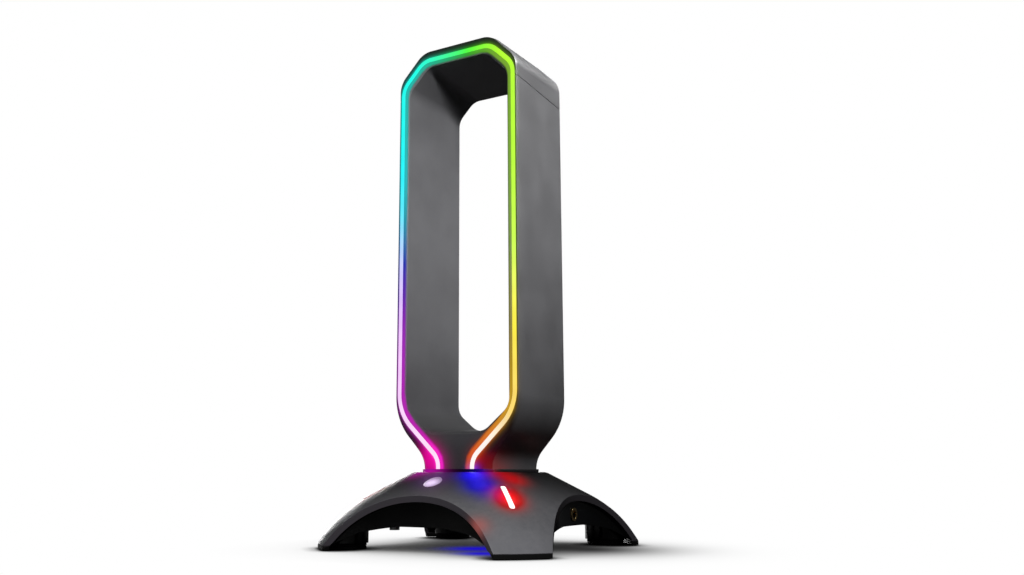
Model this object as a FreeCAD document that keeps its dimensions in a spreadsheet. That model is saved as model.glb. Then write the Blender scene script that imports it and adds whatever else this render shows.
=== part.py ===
import FreeCAD, Part
import math
import os
import re
import Sketcher

# Headphone stand: a tall window frame with a light loop, on a four-legged domed base.
# Millimetres. The origin is on the floor under the column's centre, +Z is up and the lit face looks along -Y.

SIZES = {
    # Column outline, seen from the front
    "stand_height": 263,
    "column_width": 74,
    "column_depth": 48,
    "shoulder_run": 15.4,
    "shoulder_round": 12,
    "hip_rise": 25.8,
    "hip_round": 30,
    "waist_rise": 6.7,
    "waist_round": 14,
    "neck_width": 40,
    "front_bevel": 0.6,
    "neck_bevel": 3.2,
    "bevel_depth": 3,
    # Column walls and seams
    "column_wall": 2.2,
    "rim_depth": 5,
    "cap_height": 27.6,
    "cap_drop": 4,
    "seam_gap": 0.25,
    "fit_gap": 0.15,
    "joint_gap": 0.2,
    "cap_lip_height": 3,
    "cap_lip_wall": 1.4,
    "cap_lip_front": 14,
    "cap_lip_back": 18,
    "neck_floor": 3,
    "collar_height": 1.5,
    "collar_width": 0.9,
    # Window through the column
    "window_side": 6.1,
    "window_top": 9,
    "window_shoulder_run": 12.7,
    "window_shoulder_round": 9,
    "window_hip_rise": 31.8,
    "window_hip_round": 9,
    "window_floor_rise": 19.8,
    "window_floor_side": 20.5,
    "window_side_draft": 2.6,
    "window_top_draft": 5,
    "window_floor_draft": 2.3,
    "window_bevel": 1.3,
    "window_bevel_depth": 1,
    # Inner liner and back cover
    "liner_wall": 1.5,
    "panel_thickness": 2,
    "cover_thickness": 2.4,
    "cover_recess": 0.6,
    # Light loop
    "rim_side": 1.4,
    "rim_top": 4.3,
    "rim_shoulder": 3.1,
    "guide_width": 2.3,
    "guide_depth": 5.4,
    "guide_round": 12,
    "guide_hip_rise": 29.5,
    "guide_hip_round": 24,
    "guide_waist_rise": 6.1,
    "guide_waist_round": 9,
    "tail_spread": 22.3,
    "strip_inset": 1.05,
    "strip_width": 1.5,
    "strip_thickness": 0.8,
    "chip_width": 1.1,
    "chip_height": 1,
    "chip_pitch": 20,
    # Domed base cover
    "deck_height": 37.2,
    "deck_radius": 34,
    "knee_inset": 11.65,
    "knee_drop": 18.3,
    "knee_round": 66,
    "base_radius": 81.5,
    "rim_height": 2.6,
    "shell_wall": 2.6,
    "arch_radius": 108,
    "arch_depth": 26.2,
    # Tray inside the base
    "skirt_inset": 2.2,
    "skirt_wall": 2,
    "tray_underside": 11.8,
    "tray_floor": 1.6,
    "tray_bend_inset": 26.5,
    "tray_hock_inset": 15.5,
    "tray_hock_height": 8.8,
    "well_inset": 15.5,
    # Feet
    "foot_inset": 14.1,
    "foot_radius": 9.7,
    "foot_height": 3,
    "boss_wall": 0.8,
    # Slit lights and touch window
    "slit_gap": 12,
    "slit_length": 17.8,
    "slit_width": 2.4,
    "slit_recess": 0.3,
    "spot_rise": 1.65,
    "spot_size": 4.4,
    "lamp_board_width": 7,
    "lamp_board_length": 15,
    "lamp_board_thickness": 1.2,
    "sensor_board_size": 8,
    # Neck joint
    "plate_length": 40,
    "plate_width": 26,
    "plate_thickness": 3,
    "spigot_width": 14,
    "spigot_length": 12,
    "spigot_height": 14.8,
    "harness_width": 3.4,
    "harness_thickness": 1.4,
    "neck_screw_along": 14,
    "screw_radius": 1.5,
    "screw_head_radius": 2.8,
    "screw_head_height": 2,
    "screw_bite": 5,
    # Circuit board, its posts and the ballast
    "board_gap": 0.6,
    "board_width": 46,
    "board_thickness": 1.6,
    "board_rise": 6.4,
    "post_inset": 7.1,
    "post_along": 19,
    "post_size": 5,
    "peg_size": 2.4,
    "chip_across": 16,
    "chip_size": 7,
    "chip_thickness": 1.2,
    "plug_width": 8,
    "plug_length": 5,
    "plug_height": 4,
    "plug_along": 9,
    "capacitor_length": 7,
    "capacitor_width": 3.5,
    "capacitor_height": 6,
    "capacitor_across": 20,
    "capacitor_along": 12,
    "ballast_inset": 15.1,
    "ballast_thickness": 4,
    # Screws that hold the tray to the cover
    "case_screw_across": 20,
    "case_screw_inset": 7.1,
    "case_boss_size": 7,
    "case_boss_foot": 17,
    "case_tower_size": 9,
    # Headphone jack
    "jack_drop": 2.8,
    "jack_bore": 1.8,
    "jack_length": 13.4,
    "jack_width": 6.6,
    "sleeve_radius": 3.2,
    "sleeve_reach": 0.5,
    # USB sockets
    "usb_spacing": 17,
    "usb_width": 13.2,
    "usb_thickness": 5.8,
    "usb_length": 14,
    "usb_wall": 0.4,
    "usb_tongue_width": 11,
    "usb_tongue_thickness": 1.9,
    "usb_block_length": 4,
    # Cable gland
    "gland_rise": 4.6,
    "gland_width": 6.8,
    "gland_flange": 9.2,
    "gland_flange_thickness": 1.4,
    "gland_length": 7,
    "cord_radius": 1.9,
}

doc = FreeCAD.newDocument("HeadphoneStand")
sheet = doc.addObject("Spreadsheet::Sheet", "Dimensions")
for row, (alias, number) in enumerate(SIZES.items(), start=1):
    sheet.set(f"A{row}", alias)
    sheet.set(f"B{row}", str(number))
    sheet.setAlias(f"B{row}", alias)
doc.recompute()


def cell(expression):
    """Point every size named in an expression at its cell of the sheet."""
    def point(name):
        return f"Dimensions.{name[0]}" if name[0] in SIZES else name[0]
    return re.sub(r"[a-z][a-z_]*", point, expression)


def value(expression):
    """The number that an expression of sizes comes to now."""
    return float(sheet.evalExpression(cell(expression)))


def bind(target, setting, expression):
    """Tie one setting of an object to the sheet."""
    target.setExpression(setting, cell(expression))


# ---------------------------------------------------------------- outlines
# An outline is a list of corners (across, up, rounding), each an expression of sizes.
# A rounding of None leaves the corner sharp.

def mirrored(half):
    """Close an outline from its right half, listed from the top down."""
    return half + [(f"-({across})", up, rounding) for across, up, rounding in reversed(half)]


def turned_left(corners):
    """True where the outline runs anticlockwise."""
    points = [(value(across), value(up)) for across, up, _ in corners]
    doubled = sum(a[0] * b[1] - b[0] * a[1] for a, b in zip(points, points[1:] + points[:1]))
    return doubled > 0


def grown(corners, distance, floor=None):
    """Move every edge outwards by a distance, or inwards where it is negative.

    Edges along the floor, and edges on the axis of a turned profile, stay where they are."""
    points = [(value(across), value(up)) for across, up, _ in corners]
    sign = 1 if turned_left(corners) else -1
    edges = []
    for index, start in enumerate(points):
        end = points[(index + 1) % len(points)]
        length = math.dist(start, end)
        normal = (sign * (end[1] - start[1]) / length, sign * (start[0] - end[0]) / length)
        both = (corners[index], corners[(index + 1) % len(points)])
        held = all(corner[1] == floor for corner in both) or all(corner[0] == "0" for corner in both)
        edges.append((normal, 0 if held else 1))
    moved = []
    for index, (across, up, rounding) in enumerate(corners):
        (first, first_share), (second, second_share) = edges[index - 1], edges[index]
        cross = first[0] * second[1] - first[1] * second[0]
        shift_across = (first_share * second[1] - second_share * first[1]) / cross
        shift_up = (second_share * first[0] - first_share * second[0]) / cross
        if rounding is not None:
            outwards = "+" if sign * cross > 0 else "-"
            rounding = f"({rounding}) {outwards} ({distance})"
        if abs(shift_across) > 1e-9:
            across = f"{across} + {shift_across:.9f} * ({distance})"
        if abs(shift_up) > 1e-9:
            up = f"{up} + {shift_up:.9f} * ({distance})"
        moved.append((across, up, rounding))
    return moved


def refloored(corners, floor, depth):
    """Move the corners that stand on the floor to another height."""
    return [(across, depth if up == floor else up, rounding) for across, up, rounding in corners]


def chorded(corners):
    """Swap each rounding for two sharp corners whose edges touch its arc, where flat faces will do."""
    points = [FreeCAD.Vector(value(across), value(up), 0) for across, up, _ in corners]
    made = []
    for index, (across, up, rounding) in enumerate(corners):
        if rounding is None:
            made.append((across, up, None))
            continue
        before = (points[index] - points[index - 1]).normalize()
        after = (points[(index + 1) % len(points)] - points[index]).normalize()
        turn = before.getAngle(after)
        share = math.tan(turn / 2) - math.tan(turn / 4)
        for way in (before * -share, after * share):
            shift = f"({rounding})"
            made.append((f"{across} + {way.x:.9f} * {shift}", f"{up} + {way.y:.9f} * {shift}", None))
    return made


def draw_outline(sketch, corners):
    """Draw a closed outline whose sharp corners are construction points tied to the sheet."""
    points = [FreeCAD.Vector(value(across), value(up), 0) for across, up, _ in corners]
    count = len(points)
    sign = 1 if turned_left(corners) else -1
    starts, ends, arcs = [], [], []
    for index, (_, _, rounding) in enumerate(corners):
        before = (points[index] - points[index - 1]).normalize()
        after = (points[(index + 1) % count] - points[index]).normalize()
        if rounding is None:
            ends.append(points[index])
            starts.append(points[index])
            arcs.append(None)
            continue
        radius = value(rounding)
        turn = before.x * after.y - before.y * after.x
        reach = radius * math.tan(before.getAngle(after) / 2)
        enter = points[index] - before * reach
        leave = points[index] + after * reach
        side = 1 if turn > 0 else -1
        centre = enter + FreeCAD.Vector(-before.y, before.x, 0) * radius * side
        first, last = (enter, leave) if side > 0 else (leave, enter)
        angles = [math.atan2(point.y - centre.y, point.x - centre.x) for point in (first, last)]
        circle = Part.Circle(centre, FreeCAD.Vector(0, 0, 1), radius)
        arcs.append((Part.ArcOfCircle(circle, *angles), side, rounding))
        ends.append(enter)
        starts.append(leave)
    lines = [sketch.addGeometry(Part.LineSegment(starts[index], ends[(index + 1) % count]))
             for index in range(count)]
    for index, (across, up, _) in enumerate(corners):
        before, after = lines[index - 1], lines[index]
        if arcs[index] is None:
            sketch.addConstraint(Sketcher.Constraint("Coincident", before, 2, after, 1))
            corner, place = after, 1
        else:
            geometry, side, rounding = arcs[index]
            arc = sketch.addGeometry(geometry)
            enter, leave = (1, 2) if side > 0 else (2, 1)
            sketch.addConstraint(Sketcher.Constraint("Tangent", before, 2, arc, enter))
            sketch.addConstraint(Sketcher.Constraint("Tangent", arc, leave, after, 1))
            dimension(sketch, ("Radius", arc), rounding)
            corner, place = sketch.addGeometry(Part.Point(points[index]), True), 1
            sketch.addConstraint(Sketcher.Constraint("PointOnObject", corner, 1, before))
            sketch.addConstraint(Sketcher.Constraint("PointOnObject", corner, 1, after))
        dimension(sketch, ("DistanceX", corner, place), across)
        dimension(sketch, ("DistanceY", corner, place), up)


def dimension(sketch, constraint, expression):
    """Add one dimension to a sketch and tie it to the sheet."""
    index = sketch.addConstraint(Sketcher.Constraint(*constraint, value(expression)))
    sketch.setExpression(f"Constraints[{index}]", cell(expression))


def draw_circle(sketch, across, up, radius):
    """Draw a circle whose centre and radius are tied to the sheet."""
    centre = FreeCAD.Vector(value(across), value(up), 0)
    circle = sketch.addGeometry(Part.Circle(centre, FreeCAD.Vector(0, 0, 1), value(radius)))
    dimension(sketch, ("Radius", circle), radius)
    dimension(sketch, ("DistanceX", circle, 3), across)
    dimension(sketch, ("DistanceY", circle, 3), up)


def box_outline(across, up, width, height, rounding=None):
    """An upright rectangle about a middle point."""
    return [(f"{across} + {side} * ({width}) / 2", f"{up} + {rise} * ({height}) / 2", rounding)
            for side, rise in ((1, 1), (1, -1), (-1, -1), (-1, 1))]


def corners_at(across, along, radius):
    """Four equal circles, one in each corner."""
    return [(f"{side} * ({across})", f"{rise} * ({along})", radius) for side in (1, -1) for rise in (1, -1)]


def squares_at(across, along, size):
    """Four equal squares, one in each corner."""
    return [box_outline(middle, up, size, size) for middle, up, _ in corners_at(across, along, None)]


def hexagon(across, up, radius):
    """A hexagon about a middle point, with its corners at the radius."""
    return [(f"{across} + {radius} * cos({turn})", f"{up} + {radius} * sin({turn})", None)
            for turn in range(0, 360, 60)]


def draw_legged_outline(sketch, arch_radius, end_radius):
    """Draw the plan of four legs: an arch between each two, and a round end on each."""
    reach, hollow, end = value(ARCH_CENTRE), value(arch_radius), value(end_radius)
    along = (end ** 2 + reach ** 2 - hollow ** 2) / (2 * reach)
    half_arch = math.asin(math.sqrt(end ** 2 - along ** 2) / hollow)
    half_leg = math.pi / 4 - math.acos(along / end)
    origin = FreeCAD.Vector(0, 0, 0)
    upright = FreeCAD.Vector(0, 0, 1)
    for quarter in range(4):
        facing = quarter * math.pi / 2
        centre = FreeCAD.Vector(reach * math.cos(facing), reach * math.sin(facing), 0)
        arch = Part.ArcOfCircle(Part.Circle(centre, upright, hollow),
                                facing + math.pi - half_arch, facing + math.pi + half_arch)
        leg = Part.ArcOfCircle(Part.Circle(origin, upright, end),
                               facing + math.pi / 4 - half_leg, facing + math.pi / 4 + half_leg)
        dimension(sketch, ("Radius", sketch.addGeometry(arch)), arch_radius)
        dimension(sketch, ("Radius", sketch.addGeometry(leg)), end_radius)


# ---------------------------------------------------------------- bodies and features

def new_body(label):
    body = doc.addObject("PartDesign::Body", label)
    body.Label = label
    body.AllowCompound = True
    return body


def new_sketch(body, plane, offset="0"):
    """Start a sketch on one of the body's own planes, moved along the plane's normal."""
    sketch = body.newObject("Sketcher::SketchObject", f"{body.Name}_sketch")
    support = [feature for feature in body.Origin.OriginFeatures if feature.Role == f"{plane}_Plane"][0]
    sketch.AttachmentSupport = [(support, "")]
    sketch.MapMode = "FlatFace"
    bind(sketch, "AttachmentOffset.Base.z", offset)
    return sketch


def outline_sketch(body, plane, offset, *outlines):
    sketch = new_sketch(body, plane, offset)
    for corners in outlines:
        draw_outline(sketch, corners)
    return sketch


def circle_sketch(body, plane, offset, *circles):
    sketch = new_sketch(body, plane, offset)
    for across, up, radius in circles:
        draw_circle(sketch, across, up, radius)
    return sketch


def pad(body, sketch, length, back=False):
    """Raise a sketch along its plane's normal, or against it."""
    feature = body.newObject("PartDesign::Pad", f"{body.Name}_pad")
    feature.Profile = sketch
    bind(feature, "Length", length)
    feature.Reversed = back
    return feature


def pocket(body, sketch, length=None, back=False):
    """Cut a sketch against its plane's normal, or along it, and right through where no length is given."""
    feature = body.newObject("PartDesign::Pocket", f"{body.Name}_pocket")
    feature.Profile = sketch
    if length is None:
        feature.Type = "ThroughAll"
    else:
        bind(feature, "Length", length)
    feature.Reversed = back
    return feature


def turned(body, sketch, kind="Revolution"):
    """Turn a profile about the sketch's upright axis, to add it or (Groove) to cut it."""
    feature = body.newObject(f"PartDesign::{kind}", f"{body.Name}_{kind.lower()}")
    feature.Profile = sketch
    feature.ReferenceAxis = (sketch, ["V_Axis"])
    feature.Angle = 360
    return feature


def loft(body, first, last, kind="Additive"):
    """Join two sketches with straight sides, to add them or (Subtractive) to cut them."""
    feature = body.newObject(f"PartDesign::{kind}Loft", f"{body.Name}_loft")
    feature.Profile = first
    feature.Sections = [last]
    feature.Ruled = True
    return feature


def around(body, feature, copies):
    """Repeat a feature about the upright axis."""
    pattern = body.newObject("PartDesign::PolarPattern", f"{body.Name}_pattern")
    pattern.Originals = [feature]
    axis = [item for item in body.Origin.OriginFeatures if item.Role == "Z_Axis"][0]
    pattern.Axis = (axis, [""])
    pattern.Angle = 360
    pattern.Occurrences = copies
    body.Tip = pattern
    return pattern


# ---------------------------------------------------------------- column

FRONT = "column_depth / 2"
BACK = "-column_depth / 2"
NECK_FOOT = "deck_height + joint_gap"
NECK_FLOOR = f"{NECK_FOOT} + neck_floor"
BELOW_DECK = "deck_height - shell_wall"
SPLIT = "stand_height - cap_height"
SHOULDER = "column_width / 2 - shoulder_run"
FLANK = "stand_height - shoulder_run"

SPIGOT_HOLE = ("spigot_width + fit_gap * 2", "spigot_length + fit_gap * 2")
NECK_SCREWS = [("0", f"{side} * neck_screw_along", "screw_radius") for side in (1, -1)]
DECK_SLOT = ("spigot_width + fit_gap * 2", "(neck_screw_along + screw_radius * 2) * 2")

COLUMN = mirrored([
    (SHOULDER, "stand_height", "shoulder_round"),
    ("column_width / 2", FLANK, "shoulder_round"),
    ("column_width / 2", "deck_height + hip_rise", "hip_round"),
    ("neck_width / 2", "deck_height + waist_rise", "waist_round"),
    ("neck_width / 2", NECK_FOOT, None),
])

COLUMN_FRONT = mirrored([
    (f"{SHOULDER} - front_bevel * tan(22.5)", "stand_height - front_bevel", "shoulder_round"),
    ("column_width / 2 - front_bevel", f"{FLANK} - front_bevel * tan(22.5)", "shoulder_round"),
    ("column_width / 2 - front_bevel", "deck_height + hip_rise + front_bevel", "hip_round"),
    ("neck_width / 2 - neck_bevel", "deck_height + waist_rise - front_bevel", "waist_round"),
    ("neck_width / 2 - neck_bevel", NECK_FOOT, None),
])

GUIDE_SIDE = "column_width / 2 - rim_side"
GUIDE_TOP = "stand_height - rim_top"
GUIDE_SHOULDER = "column_width / 2 + stand_height - shoulder_run - rim_shoulder * sqrt(2)"

GUIDE = mirrored([
    (f"{GUIDE_SHOULDER} - ({GUIDE_TOP})", GUIDE_TOP, "guide_round"),
    (GUIDE_SIDE, f"{GUIDE_SHOULDER} - ({GUIDE_SIDE})", "guide_round"),
    (GUIDE_SIDE, "deck_height + guide_hip_rise", "guide_hip_round"),
    ("tail_spread / 2", "deck_height + guide_waist_rise", "guide_waist_round"),
    ("tail_spread / 2", NECK_FOOT, None),
])

WINDOW_SIDE = "column_width / 2 - window_side"
WINDOW_TOP = "stand_height - window_top"
WINDOW_HIP = "deck_height + window_hip_rise"
WINDOW_FLOOR = "deck_height + window_floor_rise"

WINDOW_FRONT = mirrored([
    (f"{WINDOW_SIDE} - window_shoulder_run", WINDOW_TOP, "window_shoulder_round"),
    (WINDOW_SIDE, f"{WINDOW_TOP} - window_shoulder_run", "window_shoulder_round"),
    (WINDOW_SIDE, WINDOW_HIP, "window_hip_round"),
    ("column_width / 2 - window_floor_side", WINDOW_FLOOR, "window_hip_round"),
])

WINDOW_BACK = mirrored([
    (f"{WINDOW_SIDE} - window_shoulder_run", f"{WINDOW_TOP} - window_top_draft", "window_shoulder_round"),
    (f"{WINDOW_SIDE} - window_side_draft",
     f"{WINDOW_TOP} - window_top_draft - window_shoulder_run + window_side_draft", "window_shoulder_round"),
    (f"{WINDOW_SIDE} - window_side_draft", WINDOW_HIP, "window_hip_round"),
    ("column_width / 2 - window_floor_side", f"{WINDOW_FLOOR} + window_floor_draft", "window_hip_round"),
])


def column_wrap(label):
    """The outer wall of the column with its front rim: the shell and the cap are both cut from it."""
    body = new_body(label)
    pad(body, outline_sketch(body, "XZ", BACK, COLUMN), "column_depth - bevel_depth")
    loft(body,
         outline_sketch(body, "XZ", f"{FRONT} - bevel_depth", COLUMN),
         outline_sketch(body, "XZ", FRONT, COLUMN_FRONT))
    hollow = grown(COLUMN, "-column_wall", NECK_FOOT)
    pocket(body, outline_sketch(body, "XZ", f"{FRONT} - rim_depth", hollow))
    floor = box_outline("0", "rim_depth / 2", "neck_width - column_wall", "column_depth - rim_depth")
    pad(body, outline_sketch(body, "XY", NECK_FOOT, floor), "neck_floor")
    seat = grown(GUIDE, "fit_gap", NECK_FOOT)
    pocket(body, outline_sketch(body, "XZ", FRONT, seat), "guide_depth + fit_gap")
    return body


def split_cut(body, gap, keep_below):
    """Cut the column's wall along the slanted seam under the cap, and keep one side."""
    far = "stand_height + column_depth" if keep_below else "-column_depth"
    corners = [
        ("-column_depth", f"{SPLIT} + cap_drop + {gap}", None),
        ("column_depth", f"{SPLIT} - cap_drop + {gap}", None),
        ("column_depth", far, None),
        ("-column_depth", far, None),
    ]
    pocket(body, outline_sketch(body, "YZ", "column_width", corners))


def column_outer_shell():
    body = column_wrap("column_outer_shell")
    split_cut(body, "0", keep_below=True)
    hole = outline_sketch(body, "XY", NECK_FLOOR, box_outline("0", "0", *SPIGOT_HOLE))
    pocket(body, hole, "neck_floor + fit_gap")
    pocket(body, circle_sketch(body, "XY", NECK_FLOOR, *NECK_SCREWS), "neck_floor + fit_gap")


def column_top_cap():
    """The cap, with a lip on each side that stands inside the shell's wall."""
    body = column_wrap("column_top_cap")
    split_cut(body, "seam_gap", keep_below=False)
    shell_face = "column_width / 2 - column_wall"
    front = f"{SPLIT} + cap_drop * cap_lip_front / column_depth"
    back = f"{SPLIT} - cap_drop * cap_lip_back / column_depth"
    lip = [
        ("-cap_lip_front", f"{front} - cap_lip_height", None),
        ("cap_lip_back", f"{back} - cap_lip_height", None),
        ("cap_lip_back", f"{SPLIT} + cap_lip_height", None),
        ("-cap_lip_front", f"{SPLIT} + cap_lip_height", None),
    ]
    root = [
        ("-cap_lip_front", f"{front} + seam_gap * 2", None),
        ("cap_lip_back", f"{back} + seam_gap * 2", None),
        ("cap_lip_back", f"{SPLIT} + cap_lip_height", None),
        ("-cap_lip_front", f"{SPLIT} + cap_lip_height", None),
    ]
    pad(body, outline_sketch(body, "YZ", f"{shell_face} - fit_gap - cap_lip_wall", lip), "cap_lip_wall")
    pad(body, outline_sketch(body, "YZ", f"{shell_face} - fit_gap", root), "fit_gap * 2")
    pad(body, outline_sketch(body, "YZ", f"fit_gap - ({shell_face})", lip), "cap_lip_wall")
    pad(body, outline_sketch(body, "YZ", f"-fit_gap - ({shell_face})", root), "fit_gap * 2")


def column_inner_liner():
    """The wall of the window with the front band round it and the front panel of the neck."""
    body = new_body("column_inner_liner")
    panel = grown(GUIDE, "-guide_width - fit_gap", NECK_FOOT)
    pad(body, outline_sketch(body, "XZ", f"{FRONT} - panel_thickness", panel), "panel_thickness")
    loft(body,
         outline_sketch(body, "XZ", f"{FRONT} - panel_thickness / 2", grown(WINDOW_FRONT, "liner_wall")),
         outline_sketch(body, "XZ", f"{BACK} + cover_recess", grown(WINDOW_BACK, "liner_wall")))
    loft(body,
         outline_sketch(body, "XZ", FRONT, WINDOW_FRONT),
         outline_sketch(body, "XZ", BACK, WINDOW_BACK), "Subtractive")
    loft(body,
         outline_sketch(body, "XZ", FRONT, grown(WINDOW_FRONT, "window_bevel")),
         outline_sketch(body, "XZ", f"{FRONT} - window_bevel_depth", WINDOW_FRONT), "Subtractive")


def column_back_cover():
    body = new_body("column_back_cover")
    front = f"{BACK} + cover_recess + cover_thickness"
    outside = grown(COLUMN, "-column_wall - fit_gap", NECK_FOOT)
    pad(body, outline_sketch(body, "XZ", f"{BACK} + cover_recess", outside), "cover_thickness")
    inside = grown(WINDOW_BACK, "liner_wall + fit_gap + window_side_draft * cover_thickness / column_depth")
    pocket(body, outline_sketch(body, "XZ", front, inside))
    below = f"{NECK_FLOOR} + fit_gap"
    pocket(body, outline_sketch(body, "XZ", front, box_outline("0", f"({below}) / 2", "neck_width", below)))


def column_light_guide():
    body = new_body("column_light_guide")
    pad(body, outline_sketch(body, "XZ", f"{FRONT} - guide_depth", GUIDE), "guide_depth")
    inside = refloored(grown(GUIDE, "-guide_width", NECK_FOOT), NECK_FOOT, BELOW_DECK)
    pocket(body, outline_sketch(body, "XZ", FRONT, inside))


def column_light_strip():
    """The board behind the light guide, with the chips on its front face."""
    body = new_body("column_light_strip")
    outside = refloored(grown(GUIDE, "-strip_inset", NECK_FOOT), NECK_FOOT, f"{NECK_FLOOR} + fit_gap")
    inside = refloored(grown(GUIDE, "-strip_inset - strip_width", NECK_FOOT), NECK_FOOT, BELOW_DECK)
    back = f"{FRONT} - guide_depth - chip_height - strip_thickness"
    pad(body, outline_sketch(body, "XZ", back, chorded(outside)), "strip_thickness")
    pocket(body, outline_sketch(body, "XZ", f"{back} + strip_thickness", chorded(inside)))


def column_light_chips():
    """Small lamps at an even pitch along the middle of the strip."""
    path = doc.addObject("Sketcher::SketchObject", "chip_path")
    middle = grown(GUIDE, "-strip_inset - strip_width / 2", NECK_FOOT)
    draw_outline(path, chorded(refloored(middle, NECK_FOOT, NECK_FLOOR)))
    doc.recompute()
    width = value("chip_width")
    floor = value(NECK_FLOOR) + width
    corner = FreeCAD.Vector(-width / 2, value(f"guide_depth - ({FRONT})"), -width / 2)
    chips = []
    for spot in path.Shape.Wires[0].discretize(Distance=value("chip_pitch")):
        if spot.y > floor:
            place = FreeCAD.Vector(spot.x, 0, spot.y) + corner
            chips.append(Part.makeBox(width, value("chip_height"), width, place))
    group = doc.addObject("Part::Feature", "column_light_chips")
    group.Shape = Part.makeCompound(chips)
    group.Placement = FreeCAD.Placement()


def neck_collar():
    """A thin rim round the neck's foot."""
    body = new_body("neck_collar")
    neck = [
        ("neck_width / 2 - neck_bevel", f"-({FRONT})", None),
        ("neck_width / 2", f"bevel_depth - {FRONT}", None),
        ("neck_width / 2", FRONT, None),
        ("-neck_width / 2", FRONT, None),
        ("-neck_width / 2", f"bevel_depth - {FRONT}", None),
        ("neck_bevel - neck_width / 2", f"-({FRONT})", None),
    ]
    pad(body, outline_sketch(body, "XY", "deck_height", grown(neck, "collar_width")), "collar_height")
    pocket(body, outline_sketch(body, "XY", "deck_height + collar_height", grown(neck, "fit_gap")))


def neck_bracket():
    """The plate under the deck whose hollow spigot stands inside the neck."""
    body = new_body("neck_bracket")
    plate = box_outline("0", "0", "plate_width", "plate_length")
    spigot = box_outline("0", "0", "spigot_width", "spigot_length")
    passage = box_outline("0", "0", "harness_width + fit_gap * 2", "harness_thickness + fit_gap * 2")
    pad(body, outline_sketch(body, "XY", f"{BELOW_DECK} - plate_thickness", plate), "plate_thickness")
    pad(body, outline_sketch(body, "XY", BELOW_DECK, spigot), "shell_wall + spigot_height")
    pocket(body, outline_sketch(body, "XY", "stand_height", passage))
    pocket(body, circle_sketch(body, "XY", BELOW_DECK, *NECK_SCREWS), "plate_thickness")


def column_light_harness():
    """A flat cable from the main board to the top of the spigot."""
    body = new_body("column_light_harness")
    length = f"deck_height + spigot_height - ({BOARD_TOP})"
    outline = box_outline("0", "0", "harness_width", "harness_thickness")
    pad(body, outline_sketch(body, "XY", BOARD_TOP, outline), length)


def screws(label, shanks, seat, tip):
    """Screws that point up and share one node. Each head hangs under its seat, and as the screws repeat,
    heads and shanks are six-sided, with the shank's corners on the wall of its bore."""
    body = new_body(label)
    heads = [hexagon(across, along, "screw_head_radius") for across, along, _ in shanks]
    pad(body, outline_sketch(body, "XY", seat, *[hexagon(*shank) for shank in shanks]), f"({tip}) - ({seat})")
    pad(body, outline_sketch(body, "XY", seat, *heads), "screw_head_height", back=True)


def neck_screws():
    screws("neck_screws", NECK_SCREWS, f"{BELOW_DECK} - plate_thickness", NECK_FLOOR)


# ---------------------------------------------------------------- base

ARCH_INSET = "base_radius - arch_depth"
ARCH_CENTRE = f"{ARCH_INSET} + arch_radius"
SKIRT_FACE = f"{ARCH_INSET} - skirt_inset"
SKIRT_BACK = f"{SKIRT_FACE} - skirt_wall"
FOOT_SPACING = "base_radius - foot_inset"
SPOT_RADIUS = f"(deck_radius + {ARCH_INSET}) / 2 - spot_rise"
SLIT_START = "deck_radius + slit_gap"
WELL_FLOOR = "tray_underside + tray_floor"
BOARD_FOOT = f"{WELL_FLOOR} + board_rise"
BOARD_TOP = f"{BOARD_FOOT} + board_thickness"
POSTS = (f"{SKIRT_BACK} - post_inset", "post_along")
CASE_SCREWS = corners_at("case_screw_across", f"{SKIRT_FACE} - case_screw_inset", "screw_radius")
JACK_HEIGHT = f"{BOARD_FOOT} - jack_drop"
GLAND_HEIGHT = f"{WELL_FLOOR} + gland_rise"

DOME = chorded([
    ("0", "deck_height", None),
    ("deck_radius", "deck_height", None),
    ("base_radius - knee_inset", "deck_height - knee_drop", "knee_round"),
    ("base_radius", "rim_height", None),
    ("0", "rim_height", None),
])
DOME_INSIDE = grown(DOME, "-shell_wall", "rim_height")
TRAY_ROOF = grown(DOME, "-shell_wall - fit_gap", "rim_height")[:-1]


def above(roof):
    """The space over a turned roof line, for trimming what stands through it."""
    toe = roof[-1][0]
    far = f"{toe} + base_radius"
    sky = [(far, "stand_height", None), ("0", "stand_height", None)]
    return roof + [(toe, "0", None), (far, "0", None)] + sky


def arches(inset):
    """The four upright cylinders that cut the arches between the legs."""
    radius = f"arch_radius + {inset}"
    sides = (("1", "0"), ("-1", "0"), ("0", "1"), ("0", "-1"))
    return [(f"({ARCH_CENTRE}) * {across}", f"({ARCH_CENTRE}) * {up}", radius) for across, up in sides]


def slit_outline(margin):
    """The plan of one slit, along the right-hand axis, with its ends cut back at the corners."""
    slit = box_outline(f"{SLIT_START} + slit_length / 2", "0", "slit_length", "slit_width", "slit_width / 3")
    return chorded(grown(slit, margin))


def touch_spot(margin):
    """The plan of the round touch window, on the front slope."""
    return ("0", f"-({SPOT_RADIUS})", f"spot_size + {margin}")


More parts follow.
